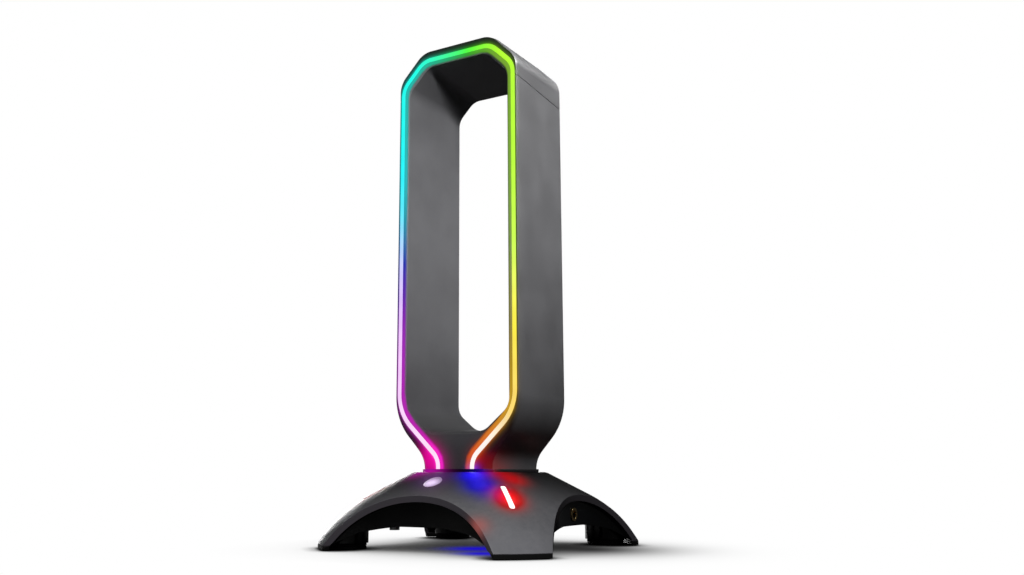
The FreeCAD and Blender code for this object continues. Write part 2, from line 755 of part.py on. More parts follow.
def base_top_cover():
    body = new_body("base_top_cover")
    turned(body, outline_sketch(body, "XZ", "0", DOME))
    turned(body, outline_sketch(body, "XZ", "0", DOME_INSIDE), "Groove")
    bosses = [box_outline(*spot[:2], "case_boss_size", "case_boss_size") for spot in CASE_SCREWS]
    pad(body, outline_sketch(body, "XY", "case_boss_foot", *bosses), "deck_height - case_boss_foot")
    turned(body, outline_sketch(body, "XZ", "0", above(DOME[:-1])), "Groove")
    pocket(body, circle_sketch(body, "XY", "stand_height", *arches("0")))
    pocket(body, circle_sketch(body, "XY", "case_boss_foot", *CASE_SCREWS), "screw_bite", back=True)
    pocket(body, outline_sketch(body, "XY", "stand_height", box_outline("0", "0", *DECK_SLOT)))
    pocket(body, circle_sketch(body, "XY", "stand_height", touch_spot("fit_gap")))
    slit = new_sketch(body, "XY", "stand_height")
    slit.AttachmentOffset = FreeCAD.Placement(FreeCAD.Vector(), FreeCAD.Rotation(45, 0, 0))
    bind(slit, "AttachmentOffset.Base.z", "stand_height")
    draw_outline(slit, slit_outline("fit_gap"))
    around(body, pocket(body, slit), 4)


def base_bottom_tray():
    """The black housing inside the arches: a legged tray with posts, foot bosses and screw towers."""
    body = new_body("base_bottom_tray")
    foot_along = f"({FOOT_SPACING}) * sqrt(0.5)"
    feet = corners_at(foot_along, foot_along, "foot_radius + boss_wall")
    pad(body, circle_sketch(body, "XY", "foot_height", *feet), f"{WELL_FLOOR} - foot_height")
    turned(body, outline_sketch(body, "XZ", "0", above(TRAY_ROOF)), "Groove")
    profile = TRAY_ROOF + [
        ("base_radius - tray_hock_inset", "tray_hock_height", None),
        ("base_radius - tray_bend_inset", "tray_underside", None),
        ("0", "tray_underside", None),
    ]
    turned(body, outline_sketch(body, "XZ", "0", profile))
    pocket(body, circle_sketch(body, "XY", "stand_height", *arches("skirt_inset")))
    well = new_sketch(body, "XY", WELL_FLOOR)
    draw_legged_outline(well, "arch_radius + skirt_inset + skirt_wall", "base_radius - well_inset")
    pocket(body, well, back=True)
    posts = squares_at(*POSTS, "post_size")
    pad(body, outline_sketch(body, "XY", WELL_FLOOR, *posts), "board_rise")
    pegs = squares_at(*POSTS, "peg_size")
    pad(body, outline_sketch(body, "XY", BOARD_FOOT, *pegs), "board_thickness + peg_size / 3")
    towers = [box_outline(*spot[:2], "case_tower_size", "case_tower_size") for spot in CASE_SCREWS]
    tower_height = f"case_boss_foot - fit_gap - ({WELL_FLOOR})"
    pad(body, outline_sketch(body, "XY", WELL_FLOOR, *towers), tower_height)
    bores = [(across, along, f"{radius} + fit_gap") for across, along, radius in CASE_SCREWS]
    pocket(body, circle_sketch(body, "XY", "case_boss_foot", *bores))
    cut = "base_radius"
    depth = f"base_radius - ({SKIRT_BACK}) + skirt_wall"
    pocket(body, circle_sketch(body, "YZ", cut, ("0", JACK_HEIGHT, "sleeve_radius + fit_gap")), depth)
    mouths = [box_outline(middle, up, "usb_width + fit_gap * 2", "usb_thickness + fit_gap * 2")
              for middle, up in (usb_middle(1), usb_middle(-1))]
    pocket(body, outline_sketch(body, "YZ", f"-{cut}", *mouths), depth, back=True)
    gland = box_outline("0", GLAND_HEIGHT, "gland_width + fit_gap * 2", "gland_width + fit_gap * 2")
    pocket(body, outline_sketch(body, "XZ", f"-{cut}", gland), depth, back=True)


def case_screws():
    screws("case_screws", CASE_SCREWS, "tray_underside", "case_boss_foot + screw_bite")


def foot_pad(label, turn):
    body = new_body(label)
    pad(body, circle_sketch(body, "XY", "0", (FOOT_SPACING, "0", "foot_radius")), "foot_height")
    turn_body(body, turn)


def dome_slice(label, recess, plan):
    """A slice of the dome's own wall that lies inside one closed plan."""
    body = new_body(label)
    turned(body, outline_sketch(body, "XZ", "0", grown(DOME, f"-{recess}", "rim_height")))
    turned(body, outline_sketch(body, "XZ", "0", DOME_INSIDE), "Groove")
    square = box_outline("0", "0", "base_radius * 3", "base_radius * 3")
    surround = outline_sketch(body, "XY", "stand_height", square)
    plan(surround)
    pocket(body, surround)
    return body


def slit_light(label, turn):
    """The clear bar in one slit."""
    body = dome_slice(label, "slit_recess", lambda sketch: draw_outline(sketch, slit_outline("0")))
    turn_body(body, turn)


def touch_light_window():
    dome_slice("touch_light_window", "0", lambda sketch: draw_circle(sketch, *touch_spot("0")))


def slope_board(label, radius, length, width, turn):
    """A small board glued flat under the dome's slope."""
    slope = math.atan2(value("knee_drop"), value("base_radius - knee_inset - deck_radius"))
    drop = value("shell_wall + fit_gap + lamp_board_thickness")
    spot = value("deck_height") - (value(radius) - value("deck_radius")) * math.tan(slope)
    body = new_body(label)
    sketch = outline_sketch(body, "XY", "0", box_outline("0", "0", length, width))
    pad(body, sketch, "lamp_board_thickness")
    tilt = FreeCAD.Rotation(FreeCAD.Vector(0, 1, 0), math.degrees(slope))
    under = FreeCAD.Vector(value(radius), 0, spot) + tilt.multVec(FreeCAD.Vector(0, 0, -drop))
    body.Placement = FreeCAD.Placement(under, tilt)
    turn_body(body, turn)


def ballast_plate():
    body = new_body("ballast_plate")
    size = f"({SKIRT_BACK} - ballast_inset) * 2"
    pad(body, outline_sketch(body, "XY", WELL_FLOOR, box_outline("0", "0", size, size)), "ballast_thickness")


def main_circuit_board():
    """The board, held by the pegs of its four posts."""
    body = new_body("main_circuit_board")
    outline = box_outline("0", "0", f"({SKIRT_BACK} - board_gap) * 2", "board_width")
    pad(body, outline_sketch(body, "XY", BOARD_FOOT, outline), "board_thickness")
    pocket(body, outline_sketch(body, "XY", "stand_height", *squares_at(*POSTS, "peg_size + fit_gap * 2")))


def board_part(label, across, along, width, length, height):
    """A plain part that stands on the board."""
    body = new_body(label)
    pad(body, outline_sketch(body, "XY", BOARD_TOP, box_outline(across, along, width, length)), height)


def headphone_jack():
    """The socket's body, hung under the board, with its bore in line with the sleeve."""
    body = new_body("headphone_jack")
    back = f"{SKIRT_BACK} - fit_gap - jack_length"
    outline = box_outline("0", JACK_HEIGHT, "jack_width", "jack_drop * 2")
    pad(body, outline_sketch(body, "YZ", back, outline), "jack_length")
    bore = circle_sketch(body, "YZ", f"{back} + jack_length", ("0", JACK_HEIGHT, "jack_bore"))
    pocket(body, bore, "jack_length - skirt_wall")


def jack_sleeve():
    body = new_body("jack_sleeve")
    length = "skirt_wall + fit_gap + sleeve_reach"
    ring = circle_sketch(body, "YZ", f"{SKIRT_BACK} - fit_gap", ("0", JACK_HEIGHT, "sleeve_radius"))
    pad(body, ring, length)
    pocket(body, circle_sketch(body, "YZ", "base_radius", ("0", JACK_HEIGHT, "jack_bore")))


def usb_middle(side):
    """The middle of one USB mouth, seen from the left."""
    return (f"{side} * usb_spacing / 2", f"{BOARD_FOOT} - usb_thickness / 2")


def usb_shell(label, side):
    body = new_body(label)
    outside = box_outline(*usb_middle(side), "usb_width", "usb_thickness")
    inside = box_outline(*usb_middle(side), "usb_width - usb_wall * 2", "usb_thickness - usb_wall * 2")
    pad(body, outline_sketch(body, "YZ", f"-({SKIRT_FACE})", outside, inside), "usb_length")


def usb_tongue(label, side):
    """The plastic block at the back of a socket with the contact tongue that it carries."""
    body = new_body(label)
    across, up = usb_middle(side)
    back = f"usb_length - ({SKIRT_FACE})"
    block = box_outline(across, up, "usb_width - usb_wall * 2", "usb_thickness - usb_wall * 2")
    pad(body, outline_sketch(body, "YZ", back, block), "usb_block_length", back=True)
    tongue = box_outline(across, f"{up} + usb_wall * 2", "usb_tongue_width", "usb_tongue_thickness")
    pad(body, outline_sketch(body, "YZ", back, tongue), "usb_length - usb_wall * 3", back=True)


def cable_gland():
    """A square snap-in bushing for the power cord."""
    body = new_body("cable_gland")
    start = f"-({SKIRT_FACE}) - fit_gap"
    inner = f"{start} + skirt_wall * 1.5"
    spot = ("0", GLAND_HEIGHT)
    flange = outline_sketch(body, "XZ", start, box_outline(*spot, "gland_flange", "gland_flange"))
    pad(body, flange, "gland_flange_thickness", back=True)
    shank = outline_sketch(body, "XZ", start, box_outline(*spot, "gland_width", "gland_width"))
    pad(body, shank, "gland_length")
    pocket(body, circle_sketch(body, "XZ", inner, (*spot, "cord_radius")), "gland_length")


def turn_body(body, angle):
    """Turn a finished body about the upright axis."""
    turn = FreeCAD.Placement(FreeCAD.Vector(), FreeCAD.Rotation(angle, 0, 0))
    body.Placement = turn.multiply(body.Placement)


LEGS = {"front_right": -45, "rear_right": 45, "rear_left": 135, "front_left": -135}

column_outer_shell()
column_top_cap()
column_inner_liner()
column_back_cover()
column_light_guide()
column_light_strip()
column_light_chips()
column_light_harness()
neck_collar()
neck_bracket()
neck_screws()
base_top_cover()
base_bottom_tray()
case_screws()
for leg, angle in LEGS.items():
    foot_pad(f"foot_pad_{leg}", angle)
    slit_light(f"slit_light_{leg}", angle)
    slope_board(f"slit_lamp_board_{leg}", f"{SLIT_START} + lamp_board_length / 3",
                "lamp_board_length", "lamp_board_width", angle)
touch_light_window()
slope_board("touch_sensor_board", SPOT_RADIUS, "sensor_board_size", "sensor_board_size", -90)
ballast_plate()
main_circuit_board()
board_part("control_chip", "chip_across", "0", "chip_size", "chip_size", "chip_thickness")
board_part("harness_plug", "0", "-plug_along", "plug_width", "plug_length", "plug_height")
board_part("filter_capacitor", "-capacitor_across", "capacitor_along",
           "capacitor_width", "capacitor_length", "capacitor_height")
headphone_jack()
jack_sleeve()
for place, side in (("front", -1), ("rear", 1)):
    usb_shell(f"usb_shell_{place}", side)
    usb_tongue(f"usb_tongue_{place}", side)
cable_gland()

# ---------------------------------------------------------------- check and export

doc.recompute()
failed = [item.Label for item in doc.Objects if {"Invalid", "Error"} & set(item.State)]
if failed:
    raise RuntimeError(f"failed: {failed}")
pieces = [item for item in doc.Objects if item.TypeId in ("PartDesign::Body", "Part::Feature")]
os.makedirs("parts", exist_ok=True)
for piece in pieces:
    if piece.Shape.isNull() or not piece.Shape.isValid():
        raise RuntimeError(f"{piece.Label} has no valid shape")
    print(piece.Label, len(piece.Shape.Solids), round(piece.Shape.Volume), piece.Shape.BoundBox)
    piece.Shape.exportStep(f"parts/{piece.Label}.step")
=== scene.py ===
import colorsys
import math

import bmesh
import bpy
from mathutils import Matrix, Vector


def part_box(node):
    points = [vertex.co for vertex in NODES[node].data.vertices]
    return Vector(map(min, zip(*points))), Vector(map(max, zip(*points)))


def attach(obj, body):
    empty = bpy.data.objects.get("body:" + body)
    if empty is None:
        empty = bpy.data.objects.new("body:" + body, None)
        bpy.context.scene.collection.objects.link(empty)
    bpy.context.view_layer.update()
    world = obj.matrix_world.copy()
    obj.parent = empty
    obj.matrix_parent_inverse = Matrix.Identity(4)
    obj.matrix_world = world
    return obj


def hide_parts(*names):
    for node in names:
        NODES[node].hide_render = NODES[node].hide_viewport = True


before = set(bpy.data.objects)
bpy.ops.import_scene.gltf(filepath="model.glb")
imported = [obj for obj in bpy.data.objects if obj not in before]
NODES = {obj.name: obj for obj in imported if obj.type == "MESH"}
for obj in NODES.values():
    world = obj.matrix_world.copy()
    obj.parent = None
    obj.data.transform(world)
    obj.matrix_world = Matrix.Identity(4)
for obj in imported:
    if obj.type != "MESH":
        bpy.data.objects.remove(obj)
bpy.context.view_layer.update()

bl_info = {
    "name": "Lit headphone stand",
    "version": (1, 0, 0),
    "blender": (4, 5, 0),
    "location": "3D View > Sidebar > Headphone stand",
    "description": "Builds the finish, lights and small parts of a headphone stand with a light loop",
    "category": "Add Mesh",
}

MM = 0.001
LEGS = ("front_right", "rear_right", "rear_left", "front_left")

# Fineness of the dome's mesh
ARCH_STEPS = 40
LEG_STEPS = 16
DECK_RINGS = 4
SLOPE_RINGS = 44

# Openings in the dome
SLIT_WIDTH = 2.4 * MM
CUT_CLEARANCE = 0.15 * MM
CUTTER_HEIGHT = 40 * MM

# Case screws
SCREW_HEAD_REACH = 2.8 * MM
SCREW_HEAD_HEIGHT = 2 * MM
SCREW_SHANK_RADIUS = 1.5 * MM

# Spring contacts under each USB tongue
CONTACT_COUNT = 4
CONTACT_PITCH = 2.4 * MM
CONTACT_SIZE = (6.5 * MM, 1.2 * MM, 0.15 * MM)
CONTACT_START = 4.2 * MM
CONTACT_DROP = 2.49 * MM

# Pitches of the rings under a foot and of the brighter places along the loop
RING_PITCH = 1.6 * MM
LAMP_PITCH = 13 * MM

BEAM_SPREAD = 14


# ---------------------------------------------------------------- settings

def srgb(red, green, blue):
    """A colour as it looks on a screen, 0 to 255, as the linear values that materials use."""
    def linear(part):
        part = part / 255
        return part / 12.92 if part <= 0.04045 else ((part + 0.055) / 1.055) ** 2.4
    return (linear(red), linear(green), linear(blue))


def scaled(colour, factor, more=0.0):
    """A colour made lighter or darker."""
    return tuple(min(part * factor + more, 1) for part in colour)


def colour_setting(name, description, colour):
    return bpy.props.FloatVectorProperty(
        name=name, description=description, subtype="COLOR", size=3, min=0, max=1, default=colour)


def length_setting(name, description, metres):
    return bpy.props.FloatProperty(
        name=name, description=description, default=metres, min=0, unit="LENGTH", precision=5)


def factor_setting(name, description, amount, top=1.0):
    return bpy.props.FloatProperty(
        name=name, description=description, default=amount, min=0, max=top, subtype="FACTOR")


def power_setting(name, description, watts):
    return bpy.props.FloatProperty(name=name, description=description, default=watts, min=0, unit="POWER")


class FinishSettings(bpy.types.PropertyGroup):
    """Colours and surface of the moulded parts."""
    shell_colour: colour_setting("Column colour", "Plastic of the column", srgb(84, 84, 86))
    base_colour: colour_setting("Base colour", "Plastic of the domed cover", srgb(74, 74, 77))
    # Painted shade: the cover is drawn darker towards its deck.
    deck_shade_colour: colour_setting("Deck colour", "The cover's deck, darker than its legs", srgb(20, 20, 21))
    # Painted shade on the arches' upright faces.
    lip_shade_colour: colour_setting("Lip colour", "Upright faces of the arches", srgb(34, 32, 35))
    skirt_colour: colour_setting("Skirt colour", "Gloss plastic inside the arches", srgb(14, 16, 20))
    rubber_colour: colour_setting("Rubber colour", "Feet and cable gland", srgb(18, 18, 19))
    grain_size: length_setting("Grain size", "Width of one grain of the moulded texture", 0.45 * MM)
    edge_radius: length_setting("Edge radius", "Rounding that the moulded edges show", 0.4 * MM)
    # Lighter edges: partly handling marks, partly a painted highlight.
    edge_wear_and_highlight: factor_setting("Edge wear", "How much lighter the handled edges are", 0.35)
    dust: factor_setting("Dust", "How much dust lies on faces that look up", 0.18)


class LightSettings(bpy.types.PropertyGroup):
    """The light loop, the slits and the touch window."""
    brightness: factor_setting("Loop brightness", "Emission of the light loop", 1.0, 10)
    # Painted light: the halo is drawn into the plastic beside the loop.
    halo: factor_setting("Halo", "Light that bleeds into the plastic beside the loop", 0.9, 5)
    halo_width: length_setting("Halo width", "How far that light reaches", 0.9 * MM)
    # Painted light: the glow round each slit is drawn on the cover.
    slit_glow_colour: colour_setting("Slit glow", "Colour round the slit lights", srgb(238, 4, 6))
    slit_core: colour_setting("Slit core", "Colour of the slit lights themselves", srgb(255, 246, 240))
    # Painted light: pools of light drawn on the deck and on the column.
    spill: factor_setting("Spill", "Light that falls on the deck from the loop's feet", 1.0, 5)
    touch_colour: colour_setting("Touch window glow", "Colour of the touch window", srgb(236, 214, 255))


class LoopSettings(bpy.types.PropertyGroup):
    """The run of the light loop, measured on its outer edge."""
    width: length_setting("Width", "Width of the lit bar", 2.3 * MM)
    shoulder_run: length_setting("Shoulder run", "Length of the slanted corner along each side", 14.08 * MM)
    hip_rise: length_setting("Hip rise", "Height of the hip above the loop's foot", 29.3 * MM)
    waist_rise: length_setting("Waist rise", "Height of the waist above the loop's foot", 5.9 * MM)
    tail_spread: length_setting("Tail spread", "Width across the two feet of the loop", 22.3 * MM)
    shoulder_round: length_setting("Shoulder rounding", "Radius at the shoulders", 10.8 * MM)
    hip_round: length_setting("Hip rounding", "Radius at the hips", 23 * MM)
    waist_round: length_setting("Waist rounding", "Radius at the waist", 9.5 * MM)
    lens_round: length_setting("Lens rounding", "Rounding of the bar's own edges", 0.35 * MM)
    band_shift: length_setting("Band shift", "How far inside the bar the middle of its glow lies", 1.9 * MM)
    band_reach: length_setting("Band reach", "How far the glow reaches from its middle", 2.6 * MM)


class DomeSettings(bpy.types.PropertyGroup):
    """The domed cover of the base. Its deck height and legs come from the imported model."""
    deck_radius: length_setting("Deck radius", "Radius of the flat deck", 34 * MM)
    deck_round: length_setting("Deck rounding", "Rounding of the deck's rim", 6 * MM)
    radius: length_setting("Radius", "Radius at the toes of the legs", 81.5 * MM)
    knee_inset: length_setting("Knee inset", "Distance of the knee from the toe", 11.65 * MM)
    knee_drop: length_setting("Knee drop", "Height of the knee below the deck", 18.3 * MM)
    knee_round: length_setting("Knee rounding", "Radius of the knee", 66 * MM)
    rim_height: length_setting("Rim height", "Height of the toes above the floor", 2.6 * MM)
    sole_height: length_setting("Sole height", "Height of the legs' upright soles above the floor", 0.4 * MM)
    wall: length_setting("Wall", "Thickness of the cover", 2.6 * MM)
    arch_radius: length_setting("Arch radius", "Radius of each arch, seen from above", 108 * MM)
    arch_depth: length_setting("Arch depth", "How far each arch cuts in from the toes' circle", 26.2 * MM)
    lip: length_setting("Lip", "Rounding of the arches' edges", 0.6 * MM)


class StageSettings(bpy.types.PropertyGroup):
    """Floor, lamps and camera."""
    floor_colour: colour_setting("Floor colour", "The floor as the stand reflects it", (0.04, 0.04, 0.04))
    # The floor's shadows and its blue pool are painted into what the camera sees.
    shadow_reach: length_setting("Shadow reach", "How far the stand's soft shadow spreads", 60 * MM)
    contact_reach: length_setting("Contact reach", "How far the dark shadow under the legs spreads", 9 * MM)
    contact_depth: factor_setting("Contact depth", "How dark the shadow under the legs is", 2.5, 5)
    shadow_depth: factor_setting("Shadow depth", "How dark the soft shadow is", 0.95, 5)
    side_shadow: factor_setting("Side shadow", "Depth of the shadow under the right arch", 0.93)
    glow: factor_setting("Floor glow", "Strength of the blue pool under the front arch", 0.92)
    low_light: factor_setting("Low light", "Light from near the horizon, all round", 0.05, 3)
    sky_light: factor_setting("Sky light", "Light from overhead", 0.04, 3)
    side_light: factor_setting("Side light", "Extra light from low on the right", 0.02, 3)
    key_power: power_setting("Side lamp", "Power of the lamp behind the stand's right", 0.5)
    fill_power: power_setting("Front lamp", "Power of the lamp in front of the stand's right", 0.05)
    window_power: power_setting("Window lamp", "Power of the lamp that lights the window's lining", 0.46)
    rear_power: power_setting("Rear lamp", "Power of the lamp behind the stand's left", 5.0)
    low_rear_power: power_setting("Low rear lamp", "Power of the low lamp on the base's rear slopes", 1.6)
    leg_power: power_setting("Leg lamp", "Power of the low lamp that lights the base's slopes", 3.0)


# ---------------------------------------------------------------- node trees

def add_node(tree, kind, values=None, **settings):
    """Add a node with its settings, and link or set each named or numbered input."""
    made = tree.nodes.new(kind)
    for setting, wanted in settings.items():
        setattr(made, setting, wanted)
    for socket, wanted in (values or {}).items():
        feed(tree, made.inputs[socket], wanted)
    return made


def feed(tree, socket, wanted):
    """Link a socket to another node's output, or set its value."""
    if isinstance(wanted, bpy.types.NodeSocket):
        tree.links.new(wanted, socket)
    elif socket.type == "RGBA" and len(wanted) == 3:
        socket.default_value = (*wanted, 1)
    else:
        socket.default_value = wanted


def maths(tree, operation, *values, clamp=False):
    made = add_node(tree, "ShaderNodeMath", dict(enumerate(values)), operation=operation, use_clamp=clamp)
    return made.outputs[0]


def vector_maths(tree, operation, *values):
    made = add_node(tree, "ShaderNodeVectorMath", dict(enumerate(values)), operation=operation)
    number = operation in {"LENGTH", "DOT_PRODUCT", "DISTANCE"}
    return made.outputs["Value" if number else "Vector"]


def mixed(tree, factor, first, second, blend="MIX"):
    """Mix two colours."""
    made = add_node(tree, "ShaderNodeMix", data_type="RGBA", blend_type=blend)
    feed(tree, made.inputs[0], factor)
    feed(tree, made.inputs[6], first)
    feed(tree, made.inputs[7], second)
    return made.outputs[2]


def grey(tree, level):
    return add_node(tree, "ShaderNodeCombineColor", {0: level, 1: level, 2: level}).outputs[0]


def remapped(tree, number, low, high, to_low=0.0, to_high=1.0, smooth=False):
    made = add_node(tree, "ShaderNodeMapRange", {0: number, 1: low, 2: high, 3: to_low, 4: to_high},
                    interpolation_type="SMOOTHSTEP" if smooth else "LINEAR")
    return made.outputs[0]


def new_tree(name, kind, inputs, outputs):
    """Start a node group: inputs are (name, socket type, default), outputs are (name, socket type)."""
    tree = bpy.data.node_groups.new(name, kind)
    for label, socket, default in inputs:
        made = tree.interface.new_socket(name=label, in_out="INPUT", socket_type=socket)
        if default is not None:
            made.default_value = default
    for label, socket in outputs:
        tree.interface.new_socket(name=label, in_out="OUTPUT", socket_type=socket)
    entry = tree.nodes.new("NodeGroupInput")
    leave = tree.nodes.new("NodeGroupOutput")
    return tree, entry.outputs, leave.inputs


def placed(tree, group, values=None):
    """Place a node group in a tree and return its outputs."""
    made = tree.nodes.new(f"{tree.bl_idname.replace('NodeTree', 'Node')}Group")
    made.node_tree = group
    for socket, wanted in (values or {}).items():
        feed(tree, made.inputs[socket], wanted)
    return made.outputs


def once(name, build):
    """Build a shared node group the first time it is asked for."""
    return bpy.data.node_groups.get(name) or build(name)


# ---------------------------------------------------------------- shared surface effects

def moulded_grain(name):
    """Fine spark-eroded grain, and slow blotches as on any moulded face."""
    tree, given, out = new_tree(
        name, "ShaderNodeTree",
        [("Position", "NodeSocketVector", None), ("Grain Size", "NodeSocketFloat", 0.45 * MM),
         ("Blotch Size", "NodeSocketFloat", 18 * MM)],
        [("Height", "NodeSocketFloat"), ("Mottle", "NodeSocketFloat")])
    grain_scale = maths(tree, "DIVIDE", 1.0, given["Grain Size"])
    fine = add_node(tree, "ShaderNodeTexNoise",
                    {"Vector": given["Position"], "Scale": grain_scale, "Detail": 3.0, "Roughness": 0.6})
    cells = add_node(tree, "ShaderNodeTexVoronoi", {"Vector": given["Position"], "Scale": grain_scale})
    blotch_scale = maths(tree, "DIVIDE", 1.0, given["Blotch Size"])
    slow = add_node(tree, "ShaderNodeTexNoise",
                    {"Vector": given["Position"], "Scale": blotch_scale, "Detail": 5.0, "Roughness": 0.55})
    height = maths(tree, "ADD", fine.outputs[0], maths(tree, "MULTIPLY", cells.outputs[0], 0.35))
    feed(tree, out["Height"], height)
    blend = maths(tree, "ADD", slow.outputs[0], maths(tree, "MULTIPLY", fine.outputs[0], 0.35))
    feed(tree, out["Mottle"], remapped(tree, blend, 0.45, 0.95))
    return tree


def soft_edges(name):
    """Rounded normals along the edges, and a mask of the edges for handling marks and a painted highlight."""
    tree, given, out = new_tree(
        name, "ShaderNodeTree",
        [("Position", "NodeSocketVector", None), ("Radius", "NodeSocketFloat", 0.4 * MM)],
        [("Normal", "NodeSocketVector"), ("Wear", "NodeSocketFloat")])
    bevel = add_node(tree, "ShaderNodeBevel", {"Radius": given["Radius"]}, samples=8)
    surface = tree.nodes.new("ShaderNodeNewGeometry")
    straight = vector_maths(tree, "DOT_PRODUCT", bevel.outputs[0], surface.outputs["Normal"])
    turned = maths(tree, "SUBTRACT", 1.0, straight, clamp=True)
    chips = add_node(tree, "ShaderNodeTexNoise",
                     {"Vector": given["Position"], "Scale": 260.0, "Detail": 6.0, "Roughness": 0.7})
    broken = remapped(tree, chips.outputs[0], 0.38, 0.68)
    feed(tree, out["Normal"], bevel.outputs[0])
    feed(tree, out["Wear"], maths(tree, "MULTIPLY", remapped(tree, turned, 0.02, 0.2), broken))
    return tree


def settled_dust(name):
    """A mask of fine dust on faces that look up."""
    tree, given, out = new_tree(
        name, "ShaderNodeTree", [("Position", "NodeSocketVector", None)], [("Mask", "NodeSocketFloat")])
    surface = tree.nodes.new("ShaderNodeNewGeometry")
    parts = add_node(tree, "ShaderNodeSeparateXYZ", {0: surface.outputs["Normal"]})
    up = remapped(tree, parts.outputs[2], 0.45, 1.0)
    specks = add_node(tree, "ShaderNodeTexNoise",
                      {"Vector": given["Position"], "Scale": 420.0, "Detail": 8.0, "Roughness": 0.75})
    feed(tree, out["Mask"], maths(tree, "MULTIPLY", up, remapped(tree, specks.outputs[0], 0.35, 0.75)))
    return tree


# The loop's colours from its left foot over the top to its right foot: place, hue in degrees, how strongly
# the bar itself is coloured, and how bright the painted light beside it is.
LOOP_HUES = (
    (0.02, 310, 0.12, 0.80),
    (0.10, 290, 0.22, 0.74),
    (0.16, 268, 0.24, 0.70),
    (0.24, 235, 0.20, 0.70),
    (0.30, 205, 0.35, 0.66),
    (0.35, 188, 0.60, 0.70),
    (0.40, 182, 0.85, 0.78),
    (0.46, 174, 0.88, 0.75),
    (0.51, 115, 0.75, 0.67),
    (0.54, 82, 0.80, 0.67),
    (0.76, 76, 0.65, 0.51),
    (0.83, 65, 0.60, 0.50),
    (0.89, 54, 0.72, 0.50),
    (0.94, 44, 0.55, 0.80),
    (0.97, 25, 0.06, 0.88),
    (0.99, 15, 0.03, 0.75),
)
HALO_SATURATION = 0.82


def hue_colour(hue, saturation, brightness):
    return srgb(*(part * 255 for part in colorsys.hsv_to_rgb(hue / 360, saturation, brightness)))


def loop_colours(name):
    """The rainbow round the loop: its own colour, and that of the painted light beside it."""
    tree, given, out = new_tree(
        name, "ShaderNodeTree", [("Position", "NodeSocketVector", None)],
        [("Core", "NodeSocketColor"), ("Halo", "NodeSocketColor")])
    low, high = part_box("column_light_guide")
    parts = add_node(tree, "ShaderNodeSeparateXYZ", {0: given["Position"]})
    up = maths(tree, "SUBTRACT", parts.outputs[2], (low.z + high.z) / 2)
    angle = maths(tree, "ARCTAN2", parts.outputs[0], up)
    way_round = remapped(tree, angle, -math.pi, math.pi)
    core = [(place, hue_colour(hue, strength, 1)) for place, hue, strength, _ in LOOP_HUES]
    halo = [(place, hue_colour(hue, HALO_SATURATION, brightness)) for place, hue, _, brightness in LOOP_HUES]
    for output, colours in (("Core", core), ("Halo", halo)):
        ramp = add_node(tree, "ShaderNodeValToRGB", {0: way_round})
        stops = ramp.color_ramp.elements
        while len(stops) > 1:
            stops.remove(stops[0])
        stops[0].position = colours[0][0]
        stops[0].color = (*colours[0][1], 1)
        for position, colour in colours[1:]:
            stops.new(position).color = (*colour, 1)
        feed(tree, out[output], ramp.outputs[0])
    return tree


def loop_corners(settings, inward=0):
    """The corners of the loop's middle line, or of one further inward: its right half, from the top down."""
    low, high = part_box("column_light_guide")
    inset = settings.width / 2 + inward
    slope = inset * math.tan(math.radians(22.5))
    side = high.x - inset
    tail = settings.tail_spread / 2 - inset
    run = settings.shoulder_run
    return [
        (high.x - run - slope, high.z - inset, settings.shoulder_round),
        (side, high.z - run - slope, settings.shoulder_round),
        (side, low.z + settings.hip_rise + inset * 0.4, settings.hip_round),
        (tail, low.z + settings.waist_rise + inset * 0.4, settings.waist_round),
        (tail, low.z, 0),
    ]


def rounded_profile(corners, steps=16):
    """The points of an open profile of (across, up, rounding) corners, with an arc at each rounding."""
    points = [Vector(corners[0][:2])]
    for before, corner, after in zip(corners, corners[1:], corners[2:]):
        spot = Vector(corner[:2])
        arriving = (spot - Vector(before[:2])).normalized()
        leaving = (Vector(after[:2]) - spot).normalized()
        turn = arriving.angle(leaving)
        clockwise = 1 if arriving.cross(leaving) < 0 else -1
        side = Vector((arriving.y, -arriving.x)) * clockwise
        start = spot - arriving * corner[2] * math.tan(turn / 2)
        for step in range(steps + 1):
            part = turn * step / steps
            forward, sideways = arriving * corner[2] * math.sin(part), side * corner[2] * (1 - math.cos(part))
            points.append(start + forward + sideways)
    points.append(Vector(corners[-1][:2]))
    return points


def loop_distance(name, inward=0):
    """How far a point lies from the loop's middle line, or from one further inward, seen from the front."""
    tree, given, out = new_tree(
        name, "ShaderNodeTree", [("Position", "NodeSocketVector", None)], [("Distance", "NodeSocketFloat")])
    parts = add_node(tree, "ShaderNodeSeparateXYZ", {0: given["Position"]})
    folded = add_node(tree, "ShaderNodeCombineXYZ",
                      {0: maths(tree, "ABSOLUTE", parts.outputs[0]), 2: parts.outputs[2]}).outputs[0]
    corners = loop_corners(bpy.context.scene.stand_loop, inward)
    line = [Vector((point.x, 0, point.y)) for point in rounded_profile([(0, corners[0][1], 0), *corners], 2)]
    nearest = None
    for start, end in zip(line, line[1:]):
        run = end - start
        arm = vector_maths(tree, "SUBTRACT", folded, tuple(start))
        along = vector_maths(tree, "DOT_PRODUCT", arm, tuple(run / run.length_squared))
        held = maths(tree, "ADD", along, 0.0, clamp=True)
        reach = add_node(tree, "ShaderNodeVectorMath", {0: tuple(run)}, operation="SCALE")
        feed(tree, reach.inputs["Scale"], held)
        away = vector_maths(tree, "DISTANCE", arm, reach.outputs[0])
        nearest = away if nearest is None else maths(tree, "MINIMUM", nearest, away)
    feed(tree, out["Distance"], nearest)
    return tree


